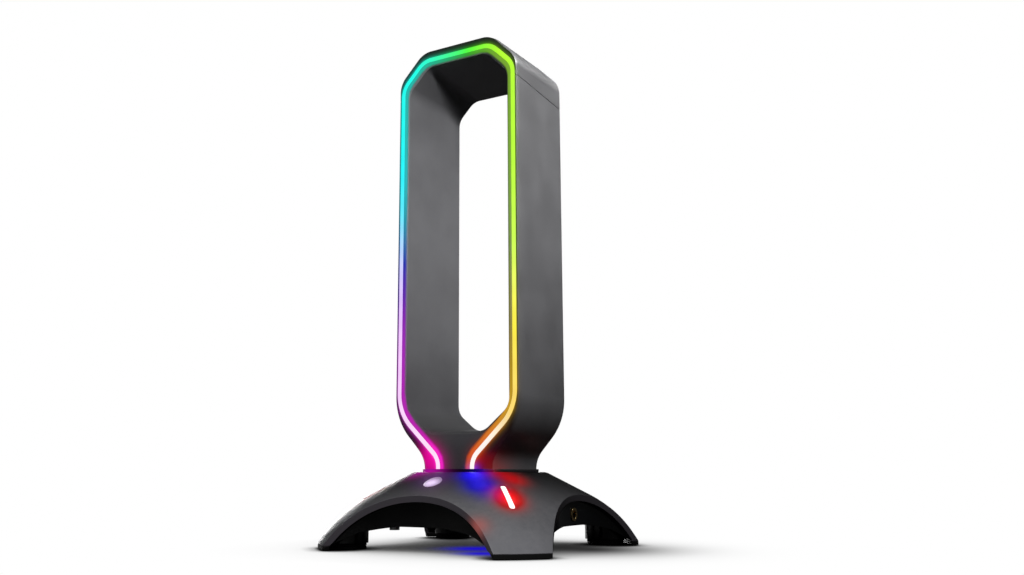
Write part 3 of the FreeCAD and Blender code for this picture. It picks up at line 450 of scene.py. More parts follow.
def loop_halo(name):
    """Painted light bleeding from the loop into the plastic: a wide band on its inner side, a faint one
    beyond.
    """
    tree, given, out = new_tree(
        name, "ShaderNodeTree",
        [("Position", "NodeSocketVector", None), ("Width", "NodeSocketFloat", 0.9 * MM),
         ("Strength", "NodeSocketFloat", 1.0)],
        [("Colour", "NodeSocketColor")])
    loop = bpy.context.scene.stand_loop
    colours = placed(tree, once("Loop colours", loop_colours), {"Position": given["Position"]})
    parts = add_node(tree, "ShaderNodeSeparateXYZ", {0: given["Position"]})
    depth = maths(tree, "SUBTRACT", parts.outputs[1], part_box("column_light_guide")[0].y)
    sunk = maths(tree, "MULTIPLY", depth, 0.8)
    away = placed(tree, once("Loop distance", loop_distance), {"Position": given["Position"]})["Distance"]
    beyond = maths(tree, "MAXIMUM", maths(tree, "SUBTRACT", away, loop.width / 2), 0.0)
    reach = maths(tree, "DIVIDE", maths(tree, "ADD", beyond, sunk), given["Width"])
    faint = maths(tree, "MULTIPLY", maths(tree, "POWER", 0.37, reach), 0.7)
    inner_line = once("Inner band distance", lambda name: loop_distance(name, loop.band_shift))
    inner = maths(tree, "ADD", placed(tree, inner_line, {"Position": given["Position"]})["Distance"], sunk)
    band = remapped(tree, inner, 0.7 * MM, loop.band_reach, 1.0, 0.0, smooth=True)
    level = maths(tree, "MULTIPLY", maths(tree, "MAXIMUM", faint, band), given["Strength"])
    feed(tree, out["Colour"], mixed(tree, level, (0, 0, 0), colours["Halo"]))
    return tree


def spot_mask(tree, position, centre, reach, stretch):
    """How near a point is to the middle of a soft pool: one there, nothing far off."""
    shaped = vector_maths(tree, "MULTIPLY", vector_maths(tree, "SUBTRACT", position, centre), stretch)
    away = maths(tree, "DIVIDE", vector_maths(tree, "LENGTH", shaped), reach)
    return maths(tree, "POWER", 0.37, maths(tree, "MULTIPLY", away, away))


def light_spot(name):
    """A soft round pool of painted light on a surface."""
    tree, given, out = new_tree(
        name, "ShaderNodeTree",
        [("Position", "NodeSocketVector", None), ("Centre", "NodeSocketVector", None),
         ("Stretch", "NodeSocketVector", None), ("Reach", "NodeSocketFloat", 8 * MM),
         ("Colour", "NodeSocketColor", None), ("Strength", "NodeSocketFloat", 1.0)],
        [("Light", "NodeSocketColor")])
    faded = spot_mask(tree, given["Position"], given["Centre"], given["Reach"], given["Stretch"])
    feed(tree, out["Light"], mixed(tree, maths(tree, "MULTIPLY", faded, given["Strength"]),
                                   (0, 0, 0), given["Colour"]))
    return tree


# ---------------------------------------------------------------- materials

def new_material(name):
    """A material with its tree, its Principled shader and the position on the piece."""
    made = bpy.data.materials.new(name)
    made.use_nodes = True
    tree = made.node_tree
    shader = tree.nodes["Principled BSDF"]
    position = tree.nodes.new("ShaderNodeTexCoord").outputs["Object"]
    return made, tree, shader, position


def grain_texture(tree, position, size):
    return placed(tree, once("Moulded grain", moulded_grain), {"Position": position, "Grain Size": size})


def surface_finish(tree, shader, position, colour, roughness, bump=0.05 * MM, grain=None, rub_and_highlight=1.0):
    """Grain, blotches, handled edges with painted highlight, and dust over one colour: what every moulded
    part has.
    """
    look = bpy.context.scene.stand_finish
    texture = grain_texture(tree, position, grain or look.grain_size)
    edges = placed(tree, once("Soft edges", soft_edges), {"Position": position, "Radius": look.edge_radius})
    dust = placed(tree, once("Settled dust", settled_dust), {"Position": position})["Mask"]
    # Lighter edges: partly handling marks, partly a painted highlight, strongest on the cover's arches.
    darker, lighter, worn_and_highlit = scaled(colour, 0.86), scaled(colour, 1.14), scaled(colour, 1.7, 0.02)
    body = mixed(tree, texture["Mottle"], darker, lighter)
    wear_and_highlight = maths(tree, "MULTIPLY", edges["Wear"], look.edge_wear_and_highlight * rub_and_highlight)
    rubbed_and_highlit = mixed(tree, wear_and_highlight, body, worn_and_highlit)
    dusted = mixed(tree, maths(tree, "MULTIPLY", dust, look.dust), rubbed_and_highlit, (0.32, 0.31, 0.30))
    feed(tree, shader.inputs["Base Color"], dusted)
    varied = remapped(tree, texture["Mottle"], 0.0, 1.0, roughness - 0.06, roughness + 0.06)
    smoother = maths(tree, "SUBTRACT", varied, maths(tree, "MULTIPLY", wear_and_highlight, 0.15))
    feed(tree, shader.inputs["Roughness"], maths(tree, "ADD", smoother, maths(tree, "MULTIPLY", dust, 0.12)))
    relief = add_node(tree, "ShaderNodeBump", {"Height": texture["Height"], "Normal": edges["Normal"],
                                               "Distance": bump, "Strength": 0.6})
    feed(tree, shader.inputs["Normal"], relief.outputs[0])


def mottled_roughness(tree, shader, texture, low, high):
    feed(tree, shader.inputs["Roughness"], remapped(tree, texture["Mottle"], 0.0, 1.0, low, high))


def halo_light(tree, position, strength):
    lights = bpy.context.scene.stand_lights
    values = {"Position": position, "Width": lights.halo_width, "Strength": strength * lights.halo}
    return placed(tree, once("Loop halo", loop_halo), values)["Colour"]


def added(tree, colours):
    """The sum of several lights."""
    total = colours[0]
    for colour in colours[1:]:
        total = mixed(tree, 1.0, total, colour, blend="ADD")
    return total


def spot(tree, position, centre, reach, colour, strength, stretch=(1, 1, 1)):
    lights = bpy.context.scene.stand_lights
    values = {"Position": position, "Centre": tuple(centre), "Reach": reach, "Colour": colour,
              "Strength": strength * lights.spill, "Stretch": stretch}
    return placed(tree, once("Light spot", light_spot), values)["Light"]


def neck_spots(tree, position):
    """Painted light from the loop's two feet on what stands beside them."""
    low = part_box("column_light_guide")[0]
    foot = bpy.context.scene.stand_loop.tail_spread / 2
    left = Vector((-foot - 2 * MM, low.y, low.z + 3 * MM))
    right = Vector((foot + 1 * MM, low.y, low.z + 5 * MM))
    return [
        spot(tree, position, left, 7 * MM, srgb(235, 10, 160), 0.6),
        spot(tree, position, left + Vector((-3, 1, 6)) * MM, 6 * MM, srgb(225, 0, 140), 0.6),
        spot(tree, position, Vector((foot, low.y, low.z)), 3.5 * MM, srgb(20, 30, 255), 0.7),
        spot(tree, position, right + Vector((2, 2, 2)) * MM, 5 * MM, srgb(200, 12, 10), 0.5),
        spot(tree, position, right + Vector((9, 4, -6)) * MM, 9 * MM, srgb(170, 5, 8), 0.35, (1, 0.6, 1.4)),
    ]


def deck_spots(tree, position):
    """Painted light on the deck and slopes: pink and blue from the loop's feet, red round each slit."""
    lights = bpy.context.scene.stand_lights
    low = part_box("column_light_guide")[0]
    foot = bpy.context.scene.stand_loop.tail_spread / 2
    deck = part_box("base_top_cover")[1].z
    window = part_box("touch_light_window")[1]
    made = [
        spot(tree, position, (-foot - 3 * MM, low.y - 3 * MM, deck), 8 * MM, srgb(215, 20, 190), 0.6),
        spot(tree, position, window - Vector((5, 0, 0)) * MM, 9 * MM, srgb(110, 30, 150), 0.3),
    ]
    right_foot = Vector((foot, low.y, deck))
    # Painted pools of light beside the right foot; the last is a painted reflection on the front arch's lip.
    for offset, reach, colour, strength in (
            ((5, -8, -2), 6, (8, 5, 255), 1.0), ((13, -15, -6), 7, (0, 0, 235), 0.7),
            ((20, -21, -11), 6, (10, 5, 170), 0.3), ((14, 0, -1), 6, (200, 5, 12), 0.5),
            ((23, 0, -3), 6, (215, 8, 12), 0.6), ((26, -38, -23), 5, (235, 120, 110), 0.3)):
        centre = right_foot + Vector(offset) * MM
        made.append(spot(tree, position, centre, reach * MM, srgb(*colour), strength))
    for leg in LEGS:
        first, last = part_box(f"slit_light_{leg}")
        middle = (first + last) / 2
        outward = Vector((middle.x, middle.y, 0)).normalized()
        glow = 0.1 if leg == "front_left" else 0.7
        for step in (-5.5, 0, 5.5):
            made.append(spot(tree, position, middle + outward * step * MM, 6 * MM, lights.slit_glow_colour, glow))
    return made


def painted_glow(tree, shader, glow):
    """Painted glow on the plastic, as emission: its own grey fades where the glow is strong."""
    parts = add_node(tree, "ShaderNodeSeparateColor", {0: glow}).outputs
    strongest = maths(tree, "MAXIMUM", maths(tree, "MAXIMUM", parts[0], parts[1]), parts[2])
    faded = maths(tree, "MULTIPLY", strongest, 2.5, clamp=True)
    body = shader.inputs["Base Color"].links[0].from_socket
    feed(tree, shader.inputs["Base Color"], mixed(tree, faded, body, (0.004, 0.004, 0.004)))
    feed(tree, shader.inputs["Emission Color"], glow)
    shader.inputs["Emission Strength"].default_value = 1


def satin_column():
    made, tree, shader, position = new_material("Satin column plastic")
    surface_finish(tree, shader, position, bpy.context.scene.stand_finish.shell_colour, 0.42)
    # Painted glow: halo and pools of light drawn into the column's plastic as emission.
    painted_glow(tree, shader, added(tree, [halo_light(tree, position, 1.0), *neck_spots(tree, position)]))
    return made


def satin_base():
    """The cover's plastic, darker on the upright faces of the arches, towards the deck and on the soles: all
    painted shade.
    """
    made, tree, shader, position = new_material("Satin base plastic")
    look = bpy.context.scene.stand_finish
    # The cover's edges are lightened twice as much, a painted highlight along the arches.
    surface_finish(tree, shader, position, look.base_colour, 0.4, rub_and_highlight=2.0)
    surface = tree.nodes.new("ShaderNodeNewGeometry")
    upward = add_node(tree, "ShaderNodeSeparateXYZ", {0: surface.outputs["Normal"]}).outputs[2]
    upright = remapped(tree, upward, 0.15, 0.5, 1.0, 0.0)
    body = shader.inputs["Base Color"].links[0].from_socket
    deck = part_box("base_top_cover")[1].z
    height = add_node(tree, "ShaderNodeSeparateXYZ", {0: position}).outputs[2]
    # Painted shade: the cover darkens towards the deck over its top 15 mm.
    top = remapped(tree, height, deck - 15 * MM, deck, 0.0, 0.9, smooth=True)
    dimmed = mixed(tree, top, body, look.deck_shade_colour)
    # Painted shade: faces that stand upright take the darker lip shade colour.
    lipped = mixed(tree, upright, dimmed, look.lip_shade_colour)
    # Painted shadow: the legs' soles, below the toes, are drawn near black.
    rim = bpy.context.scene.stand_dome.rim_height
    sole = remapped(tree, height, rim - 0.4 * MM, rim + 0.2 * MM, 1.0, 0.0)
    feed(tree, shader.inputs["Base Color"], mixed(tree, sole, lipped, (0.002, 0.002, 0.002)))
    # Painted light on the deck and slopes, as emission.
    painted_glow(tree, shader, added(tree, deck_spots(tree, position)))
    return made


def gloss_skirt():
    made, tree, shader, position = new_material("Gloss skirt plastic")
    surface_finish(tree, shader, position, bpy.context.scene.stand_finish.skirt_colour, 0.16, bump=0.01 * MM,
                   grain=2 * MM)
    shader.inputs["Coat Weight"].default_value = 0.6
    shader.inputs["Coat Roughness"].default_value = 0.08
    return made


def foot_rubber():
    """Rubber with fine rings on the underside of each foot."""
    made, tree, shader, position = new_material("Foot rubber")
    surface_finish(tree, shader, position, bpy.context.scene.stand_finish.rubber_colour, 0.68, bump=0.08 * MM)
    low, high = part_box("foot_pad_rear_right")
    folded = vector_maths(tree, "ABSOLUTE", position)
    from_middle = vector_maths(tree, "SUBTRACT", folded, tuple((low + high) / 2))
    across = vector_maths(tree, "LENGTH", vector_maths(tree, "MULTIPLY", from_middle, (1, 1, 0)))
    ring = maths(tree, "SINE", maths(tree, "MULTIPLY", across, 2 * math.pi / RING_PITCH))
    relief = shader.inputs["Normal"].links[0].from_node
    rings = add_node(tree, "ShaderNodeBump",
                     {"Height": ring, "Normal": relief.outputs[0], "Distance": 0.15 * MM})
    feed(tree, shader.inputs["Normal"], rings.outputs[0])
    return made


def loop_light():
    """Milky bar lit from behind, a little brighter over each lamp."""
    made, tree, shader, position = new_material("Light loop bar")
    lights = bpy.context.scene.stand_lights
    core = placed(tree, once("Loop colours", loop_colours), {"Position": position})["Core"]
    parts = add_node(tree, "ShaderNodeSeparateXYZ", {0: position})
    beat = maths(tree, "SINE", maths(tree, "MULTIPLY", parts.outputs[2], 2 * math.pi / LAMP_PITCH))
    texture = grain_texture(tree, position, 1.2 * MM)
    level = maths(tree, "ADD", remapped(tree, beat, -1.0, 1.0, 0.95, 1.0),
                  maths(tree, "MULTIPLY", texture["Mottle"], 0.04))
    dimmed = mixed(tree, 1.0, core, grey(tree, level), blend="MULTIPLY")
    feed(tree, shader.inputs["Emission Color"], dimmed)
    feed(tree, shader.inputs["Base Color"], mixed(tree, 0.9, core, (0.03, 0.03, 0.03)))
    mottled_roughness(tree, shader, texture, 0.28, 0.4)
    shader.inputs["Emission Strength"].default_value = lights.brightness
    return made


def slit_glow():
    made, tree, shader, position = new_material("Slit light bar")
    lights = bpy.context.scene.stand_lights
    texture = grain_texture(tree, position, 1.2 * MM)
    mottled = mixed(tree, texture["Mottle"], lights.slit_core, (1, 0.86, 0.84))
    feed(tree, shader.inputs["Emission Color"], mottled)
    mottled_roughness(tree, shader, texture, 0.25, 0.4)
    shader.inputs["Base Color"].default_value = (0.8, 0.7, 0.7, 1)
    shader.inputs["Emission Strength"].default_value = 1.3
    return made


def touch_glow():
    """A plain round window, brighter in its middle."""
    made, tree, shader, position = new_material("Touch window")
    lights = bpy.context.scene.stand_lights
    low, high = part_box("touch_light_window")
    away = vector_maths(tree, "DISTANCE", position, tuple((low + high) / 2))
    inner = remapped(tree, away, 1.2 * MM, 4.6 * MM, 1.0, 0.25)
    texture = grain_texture(tree, position, 0.8 * MM)
    feed(tree, shader.inputs["Emission Color"], mixed(tree, inner, (0.05, 0.01, 0.08), lights.touch_colour))
    mottled_roughness(tree, shader, texture, 0.2, 0.35)
    shader.inputs["Base Color"].default_value = (0.4, 0.36, 0.42, 1)
    shader.inputs["Emission Strength"].default_value = 1.0
    return made


def metal(name, colour, roughness, scratch_along=(1, 1, 12)):
    """Plated metal with fine drawn scratches."""
    made, tree, shader, position = new_material(name)
    drawn = vector_maths(tree, "MULTIPLY", position, scratch_along)
    scratches = add_node(tree, "ShaderNodeTexNoise", {"Vector": drawn, "Scale": 900.0, "Detail": 4.0})
    edges = placed(tree, once("Soft edges", soft_edges), {"Position": position, "Radius": 0.2 * MM})
    darker = scaled(colour, 0.8)
    feed(tree, shader.inputs["Base Color"], mixed(tree, scratches.outputs[0], darker, colour))
    feed(tree, shader.inputs["Roughness"],
         remapped(tree, scratches.outputs[0], 0.2, 0.8, roughness - 0.08, roughness + 0.1))
    relief = add_node(tree, "ShaderNodeBump", {"Height": scratches.outputs[0], "Normal": edges["Normal"],
                                               "Distance": 0.02 * MM, "Strength": 0.4})
    feed(tree, shader.inputs["Normal"], relief.outputs[0])
    shader.inputs["Metallic"].default_value = 1
    return made


def circuit_board():
    """Green lacquer over faint copper tracks."""
    made, tree, shader, position = new_material("Circuit board lacquer")
    tracks = add_node(tree, "ShaderNodeTexBrick", {"Vector": position, "Scale": 140.0, "Mortar Size": 0.03})
    tracks.inputs["Color1"].default_value = (0.010, 0.10, 0.045, 1)
    tracks.inputs["Color2"].default_value = (0.008, 0.085, 0.04, 1)
    tracks.inputs["Mortar"].default_value = (0.03, 0.2, 0.08, 1)
    texture = grain_texture(tree, position, 0.6 * MM)
    feed(tree, shader.inputs["Base Color"], tracks.outputs[0])
    mottled_roughness(tree, shader, texture, 0.25, 0.42)
    relief = add_node(tree, "ShaderNodeBump",
                      {"Height": tracks.outputs[1], "Distance": 0.04 * MM, "Strength": 0.5})
    feed(tree, shader.inputs["Normal"], relief.outputs[0])
    return made


def plain_plastic(name, colour, roughness):
    made, tree, shader, position = new_material(name)
    surface_finish(tree, shader, position, colour, roughness, bump=0.02 * MM)
    return made


MATERIALS = {
    "satin_shell": satin_column,
    "satin_base": satin_base,
    "gloss_black": gloss_skirt,
    "light_guide": loop_light,
    "slit_guide": slit_glow,
    "foot_rubber": foot_rubber,
    "circuit_board": circuit_board,
    "lamp": lambda: plain_plastic("Lamp cream plastic", (0.75, 0.73, 0.66), 0.4),
    "black_plastic": lambda: plain_plastic("Black socket plastic", (0.02, 0.02, 0.022), 0.38),
    "bright_steel": lambda: metal("Bright plated steel", (0.62, 0.62, 0.64), 0.28),
    "dark_steel": lambda: metal("Dark zinc steel", (0.16, 0.16, 0.17), 0.42),
    "gold_contact": lambda: metal("Gold plating", (0.86, 0.62, 0.28), 0.22, (12, 1, 1)),
    "cord_black": lambda: plain_plastic("Cord sleeve", (0.025, 0.025, 0.027), 0.5),
    "touch_window": touch_glow,
}
BUILT = {}


def finish(slot):
    """The material of one slot, built the first time it is asked for."""
    if slot not in BUILT:
        BUILT[slot] = MATERIALS[slot]()
    return BUILT[slot]


# ---------------------------------------------------------------- pieces

def dress(node, slot):
    """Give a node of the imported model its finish."""
    mesh = NODES[node].data
    mesh.materials.clear()
    mesh.materials.append(finish(slot))


def settle(piece, node):
    """Let a finished piece stand for its node, and ride on the stand."""
    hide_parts(node)
    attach(piece, "root")


def height_on(points, across):
    """The height of a profile at one distance from its axis."""
    for first, last in zip(points, points[1:]):
        if first.x <= across <= last.x:
            share = (across - first.x) / max(last.x - first.x, 1e-9)
            return first.y + (last.y - first.y) * share
    return points[-1].y


def dome_mesh(settings, deck):
    """The domed wall: a turned profile, cut by four arches into four legs."""
    knee = settings.radius - settings.knee_inset
    outer_corners = [(0, deck, 0), (settings.deck_radius, deck, settings.deck_round),
                     (knee, deck - settings.knee_drop, settings.knee_round),
                     (settings.radius, settings.rim_height, 0)]
    outer = rounded_profile(outer_corners)
    first_slope = math.atan2(settings.knee_drop, knee - settings.deck_radius)
    last_slope = math.atan2(deck - settings.knee_drop - settings.rim_height, settings.knee_inset)
    wall = settings.wall
    shifts = [math.tan(first_slope / 2), math.sin(first_slope), math.sin(last_slope)]
    middle_turn = (last_slope - first_slope) / 2
    reach = wall / math.cos(middle_turn)
    knee_inside = (knee - reach * math.sin(first_slope + middle_turn),
                   deck - settings.knee_drop - reach * math.cos(first_slope + middle_turn))
    toe_inside = settings.radius - wall / shifts[2]
    inner_corners = [(0, deck - wall, 0),
                     (settings.deck_radius - wall * shifts[0], deck - wall, settings.deck_round - wall),
                     (*knee_inside, settings.knee_round - wall), (toe_inside, settings.rim_height, 0)]
    inner = rounded_profile(inner_corners)
    centre = settings.radius - settings.arch_depth + settings.arch_radius

    def arch_reach(angle):
        """How far the cover reaches at an angle from the arch's own axis."""
        across = centre * math.sin(angle)
        inside = settings.arch_radius ** 2 - across ** 2
        if inside < 0:
            return settings.radius
        return min(centre * math.cos(angle) - math.sqrt(inside), settings.radius)

    squares = settings.radius ** 2 + centre ** 2 - settings.arch_radius ** 2
    half_arch = math.acos(squares / (2 * centre * settings.radius))
    half_leg = math.pi / 4 - half_arch
    angles = []
    for quarter in range(4):
        facing = quarter * math.pi / 2
        angles += [(facing + half_arch * step / ARCH_STEPS, half_arch * step / ARCH_STEPS)
                   for step in range(-ARCH_STEPS, ARCH_STEPS)]
        angles += [(facing + half_arch + half_leg * step / LEG_STEPS, half_arch)
                   for step in range(LEG_STEPS * 2)]
    shape = bmesh.new()
    columns = []
    for facing, from_axis in angles:
        edge = arch_reach(from_axis) if abs(from_axis) < half_arch - 1e-9 else settings.radius
        deck_edge = settings.deck_radius - settings.deck_round
        line = []
        for profile, limit in ((outer, edge), (inner, min(edge, toe_inside))):
            column = [deck_edge * step / DECK_RINGS for step in range(1, DECK_RINGS + 1)]
            column += [deck_edge + (limit - deck_edge) * step / SLOPE_RINGS
                       for step in range(1, SLOPE_RINGS + 1)]
            line.append([(across, height_on(profile, across)) for across in column])
        outer_line, inner_line = line
        foot = settings.sole_height if edge == settings.radius else outer_line[-1][1]
        sole = [(across, min(foot, up))
                for across, up in (outer_line[-1], (edge, inner_line[-1][1]), inner_line[-1])]
        run = outer_line + sole + list(reversed(inner_line))
        columns.append([shape.verts.new((across * math.cos(facing), across * math.sin(facing), up))
                        for across, up in run])
    top = shape.verts.new((0, 0, deck))
    bottom = shape.verts.new((0, 0, deck - wall))
    for column, following in zip(columns, columns[1:] + columns[:1]):
        shape.faces.new((top, column[0], following[0]))
        shape.faces.new((bottom, following[-1], column[-1]))
        for low, high in zip(range(len(column) - 1), range(1, len(column))):
            shape.faces.new((column[low], column[high], following[high], following[low]))
    bmesh.ops.remove_doubles(shape, verts=shape.verts, dist=0.001 * MM)
    bmesh.ops.dissolve_degenerate(shape, edges=shape.edges, dist=0.001 * MM)
    bmesh.ops.recalc_face_normals(shape, faces=shape.faces)
    mesh = bpy.data.meshes.new("base_cover")
    for face in shape.faces:
        face.smooth = True
    for edge in shape.edges:
        edge.smooth = edge.is_manifold and edge.calc_face_angle(0) < math.radians(35)
    shape.to_mesh(mesh)
    shape.free()
    return mesh


def slit_cutter(leg):
    """A block that cuts the opening of one slit light, as long as the light and a little wider."""
    low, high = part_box(f"slit_light_{leg}")
    middle = (low + high) / 2
    outward = Vector((middle.x, middle.y, 0)).normalized()
    corner_cut = 2 / 3 * (math.tan(math.radians(45)) - math.tan(math.radians(22.5)))
    length = math.hypot(high.x - low.x, high.y - low.y) - SLIT_WIDTH * (1 - corner_cut)
    shape = bmesh.new()
    bmesh.ops.create_cube(shape, size=1)
    size = (length + CUT_CLEARANCE * 2, SLIT_WIDTH + CUT_CLEARANCE * 2, CUTTER_HEIGHT)
    bmesh.ops.scale(shape, vec=size, verts=shape.verts)
    upright = [edge for edge in shape.edges
               if abs((edge.verts[0].co - edge.verts[1].co).z) > CUTTER_HEIGHT / 2]
    bmesh.ops.bevel(shape, geom=upright, offset=SLIT_WIDTH * 0.4, segments=5, profile=0.5, affect="EDGES")
    turn = Matrix.Rotation(math.atan2(outward.y, outward.x), 4, "Z")
    bmesh.ops.transform(shape, matrix=Matrix.Translation(middle) @ turn, verts=shape.verts)
    return shape


def touch_cutter():
    """A round block that cuts the opening of the touch window."""
    low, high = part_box("touch_light_window")
    middle = (low + high) / 2
    shape = bmesh.new()
    radius = (high.x - low.x) / 2 + CUT_CLEARANCE
    bmesh.ops.create_cone(shape, cap_ends=True, segments=64, radius1=radius, radius2=radius,
                          depth=CUTTER_HEIGHT, matrix=Matrix.Translation((0, middle.y, middle.z)))
    return shape


def cut_away(mesh, cutters):
    """The mesh with blocks cut out of it."""
    body = bpy.data.objects.new("cut_body", mesh)
    bpy.context.scene.collection.objects.link(body)
    helpers = []
    for index, shape in enumerate(cutters):
        block = bpy.data.meshes.new(f"cutter_{index}")
        bmesh.ops.recalc_face_normals(shape, faces=shape.faces)
        shape.to_mesh(block)
        shape.free()
        helper = bpy.data.objects.new(f"cutter_{index}", block)
        bpy.context.scene.collection.objects.link(helper)
        helpers.append(helper)
        cut = body.modifiers.new(f"Cut {index}", "BOOLEAN")
        cut.operation = "DIFFERENCE"
        cut.solver = "EXACT"
        cut.object = helper
    bpy.context.view_layer.update()
    result = bpy.data.meshes.new_from_object(body.evaluated_get(bpy.context.evaluated_depsgraph_get()))
    for helper in (body, *helpers):
        bpy.data.objects.remove(helper)
    return result


def round_edges(piece, width, sharp=35, segments=2):
    """Round a piece's edges and let its flat faces lead the shading."""
    rounding = piece.modifiers.new("Rounded edges", "BEVEL")
    rounding.width = width
    rounding.segments = segments
    rounding.limit_method = "ANGLE"
    rounding.angle_limit = math.radians(sharp)
    rounding.use_clamp_overlap = True
    rounding.harden_normals = True
    weighted = piece.modifiers.new("Flat faces lead", "WEIGHTED_NORMAL")
    weighted.keep_sharp = True


def new_piece(name, mesh, slot):
    piece = bpy.data.objects.new(name, mesh)
    bpy.context.scene.collection.objects.link(piece)
    mesh.materials.clear()
    mesh.materials.append(finish(slot))
    return piece


def smoothed_piece(node, name, slot, bevel, sharp=35):
    """A copy of a node with its loose triangles joined, its flat faces whole and its edges rounded."""
    mesh = NODES[node].data.copy()
    shape = bmesh.new()
    shape.from_mesh(mesh)
    bmesh.ops.remove_doubles(shape, verts=shape.verts, dist=0.002 * MM)
    bmesh.ops.dissolve_degenerate(shape, edges=shape.edges, dist=0.002 * MM)
    bmesh.ops.dissolve_limit(shape, angle_limit=math.radians(0.5), verts=shape.verts, edges=shape.edges)
    limit = math.radians(sharp)
    for face in shape.faces:
        face.smooth = True
    for edge in shape.edges:
        edge.smooth = edge.is_manifold and edge.calc_face_angle(0) < limit
    shape.to_mesh(mesh)
    shape.free()
    if "custom_normal" in mesh.attributes:
        mesh.attributes.remove(mesh.attributes["custom_normal"])
    piece = new_piece(name, mesh, slot)
    round_edges(piece, bevel, sharp)
    settle(piece, node)
    return piece


def grown_piece(name, source, tree, values, slot):
    """Run a Geometry Nodes tree on a source object and keep the result as a plain mesh."""
    carrier = bpy.data.objects.new(f"{name}_source", source)
    bpy.context.scene.collection.objects.link(carrier)
    modifier = carrier.modifiers.new(tree.name, "NODES")
    modifier.node_group = tree
    for item in tree.interface.items_tree:
        if item.in_out == "INPUT" and item.name in values:
            modifier[item.identifier] = values[item.name]
    bpy.context.view_layer.update()
    evaluated = carrier.evaluated_get(bpy.context.evaluated_depsgraph_get())
    mesh = bpy.data.meshes.new_from_object(evaluated)
    carrier.modifiers.remove(modifier)
    bpy.data.objects.remove(carrier)
    mesh.name = name
    return new_piece(name, mesh, slot)


def geometry_tree(name, inputs):
    """Start a Geometry Nodes tree that takes geometry, named sizes and a material."""
    given = [("Geometry", "NodeSocketGeometry", None), *inputs, ("Material", "NodeSocketMaterial", None)]
    return new_tree(name, "GeometryNodeTree", given, [("Geometry", "NodeSocketGeometry")])


def end_tree(tree, geometry, material, out, smooth=True):
    """Close a tree: instances made real, shaded, and given their material."""
    real = add_node(tree, "GeometryNodeRealizeInstances", {0: geometry}).outputs[0]
    shaded = add_node(tree, "GeometryNodeSetShadeSmooth",
                      {"Geometry": real, "Shade Smooth": smooth}).outputs[0]
    dressed = add_node(tree, "GeometryNodeSetMaterial", {"Geometry": shaded, "Material": material}).outputs[0]
    feed(tree, out[0], dressed)


def lit_bar_tree(name):
    """A bar with softly rounded edges that follows a path in the front plane."""
    tree, given, out = geometry_tree(name, [
        ("Width", "NodeSocketFloat", 2.3 * MM), ("Depth", "NodeSocketFloat", 5.4 * MM),
        ("Rounding", "NodeSocketFloat", 0.35 * MM)])
    bend = add_node(tree, "GeometryNodeInputNamedAttribute", {"Name": "rounding"}, data_type="FLOAT")
    line = add_node(tree, "GeometryNodeMeshToCurve", {"Mesh": given["Geometry"]})
    path = add_node(tree, "GeometryNodeFilletCurve",
                    {"Curve": line.outputs[0], "Count": 14, "Radius": bend.outputs[0], "Limit Radius": True},
                    mode="POLY")
    facing = add_node(tree, "GeometryNodeSetCurveNormal", {"Curve": path.outputs[0]}, mode="FREE")
    facing.inputs["Normal"].default_value = (0, -1, 0)
    section = add_node(tree, "GeometryNodeCurvePrimitiveQuadrilateral",
                       {"Width": given["Depth"], "Height": given["Width"]}, mode="RECTANGLE")
    soft = add_node(tree, "GeometryNodeFilletCurve",
                    {"Curve": section.outputs[0], "Count": 3, "Radius": given["Rounding"]}, mode="POLY")
    bar = add_node(tree, "GeometryNodeCurveToMesh",
                   {"Curve": facing.outputs[0], "Profile Curve": soft.outputs[0], "Fill Caps": True})
    end_tree(tree, bar.outputs[0], given["Material"], out)
    return tree


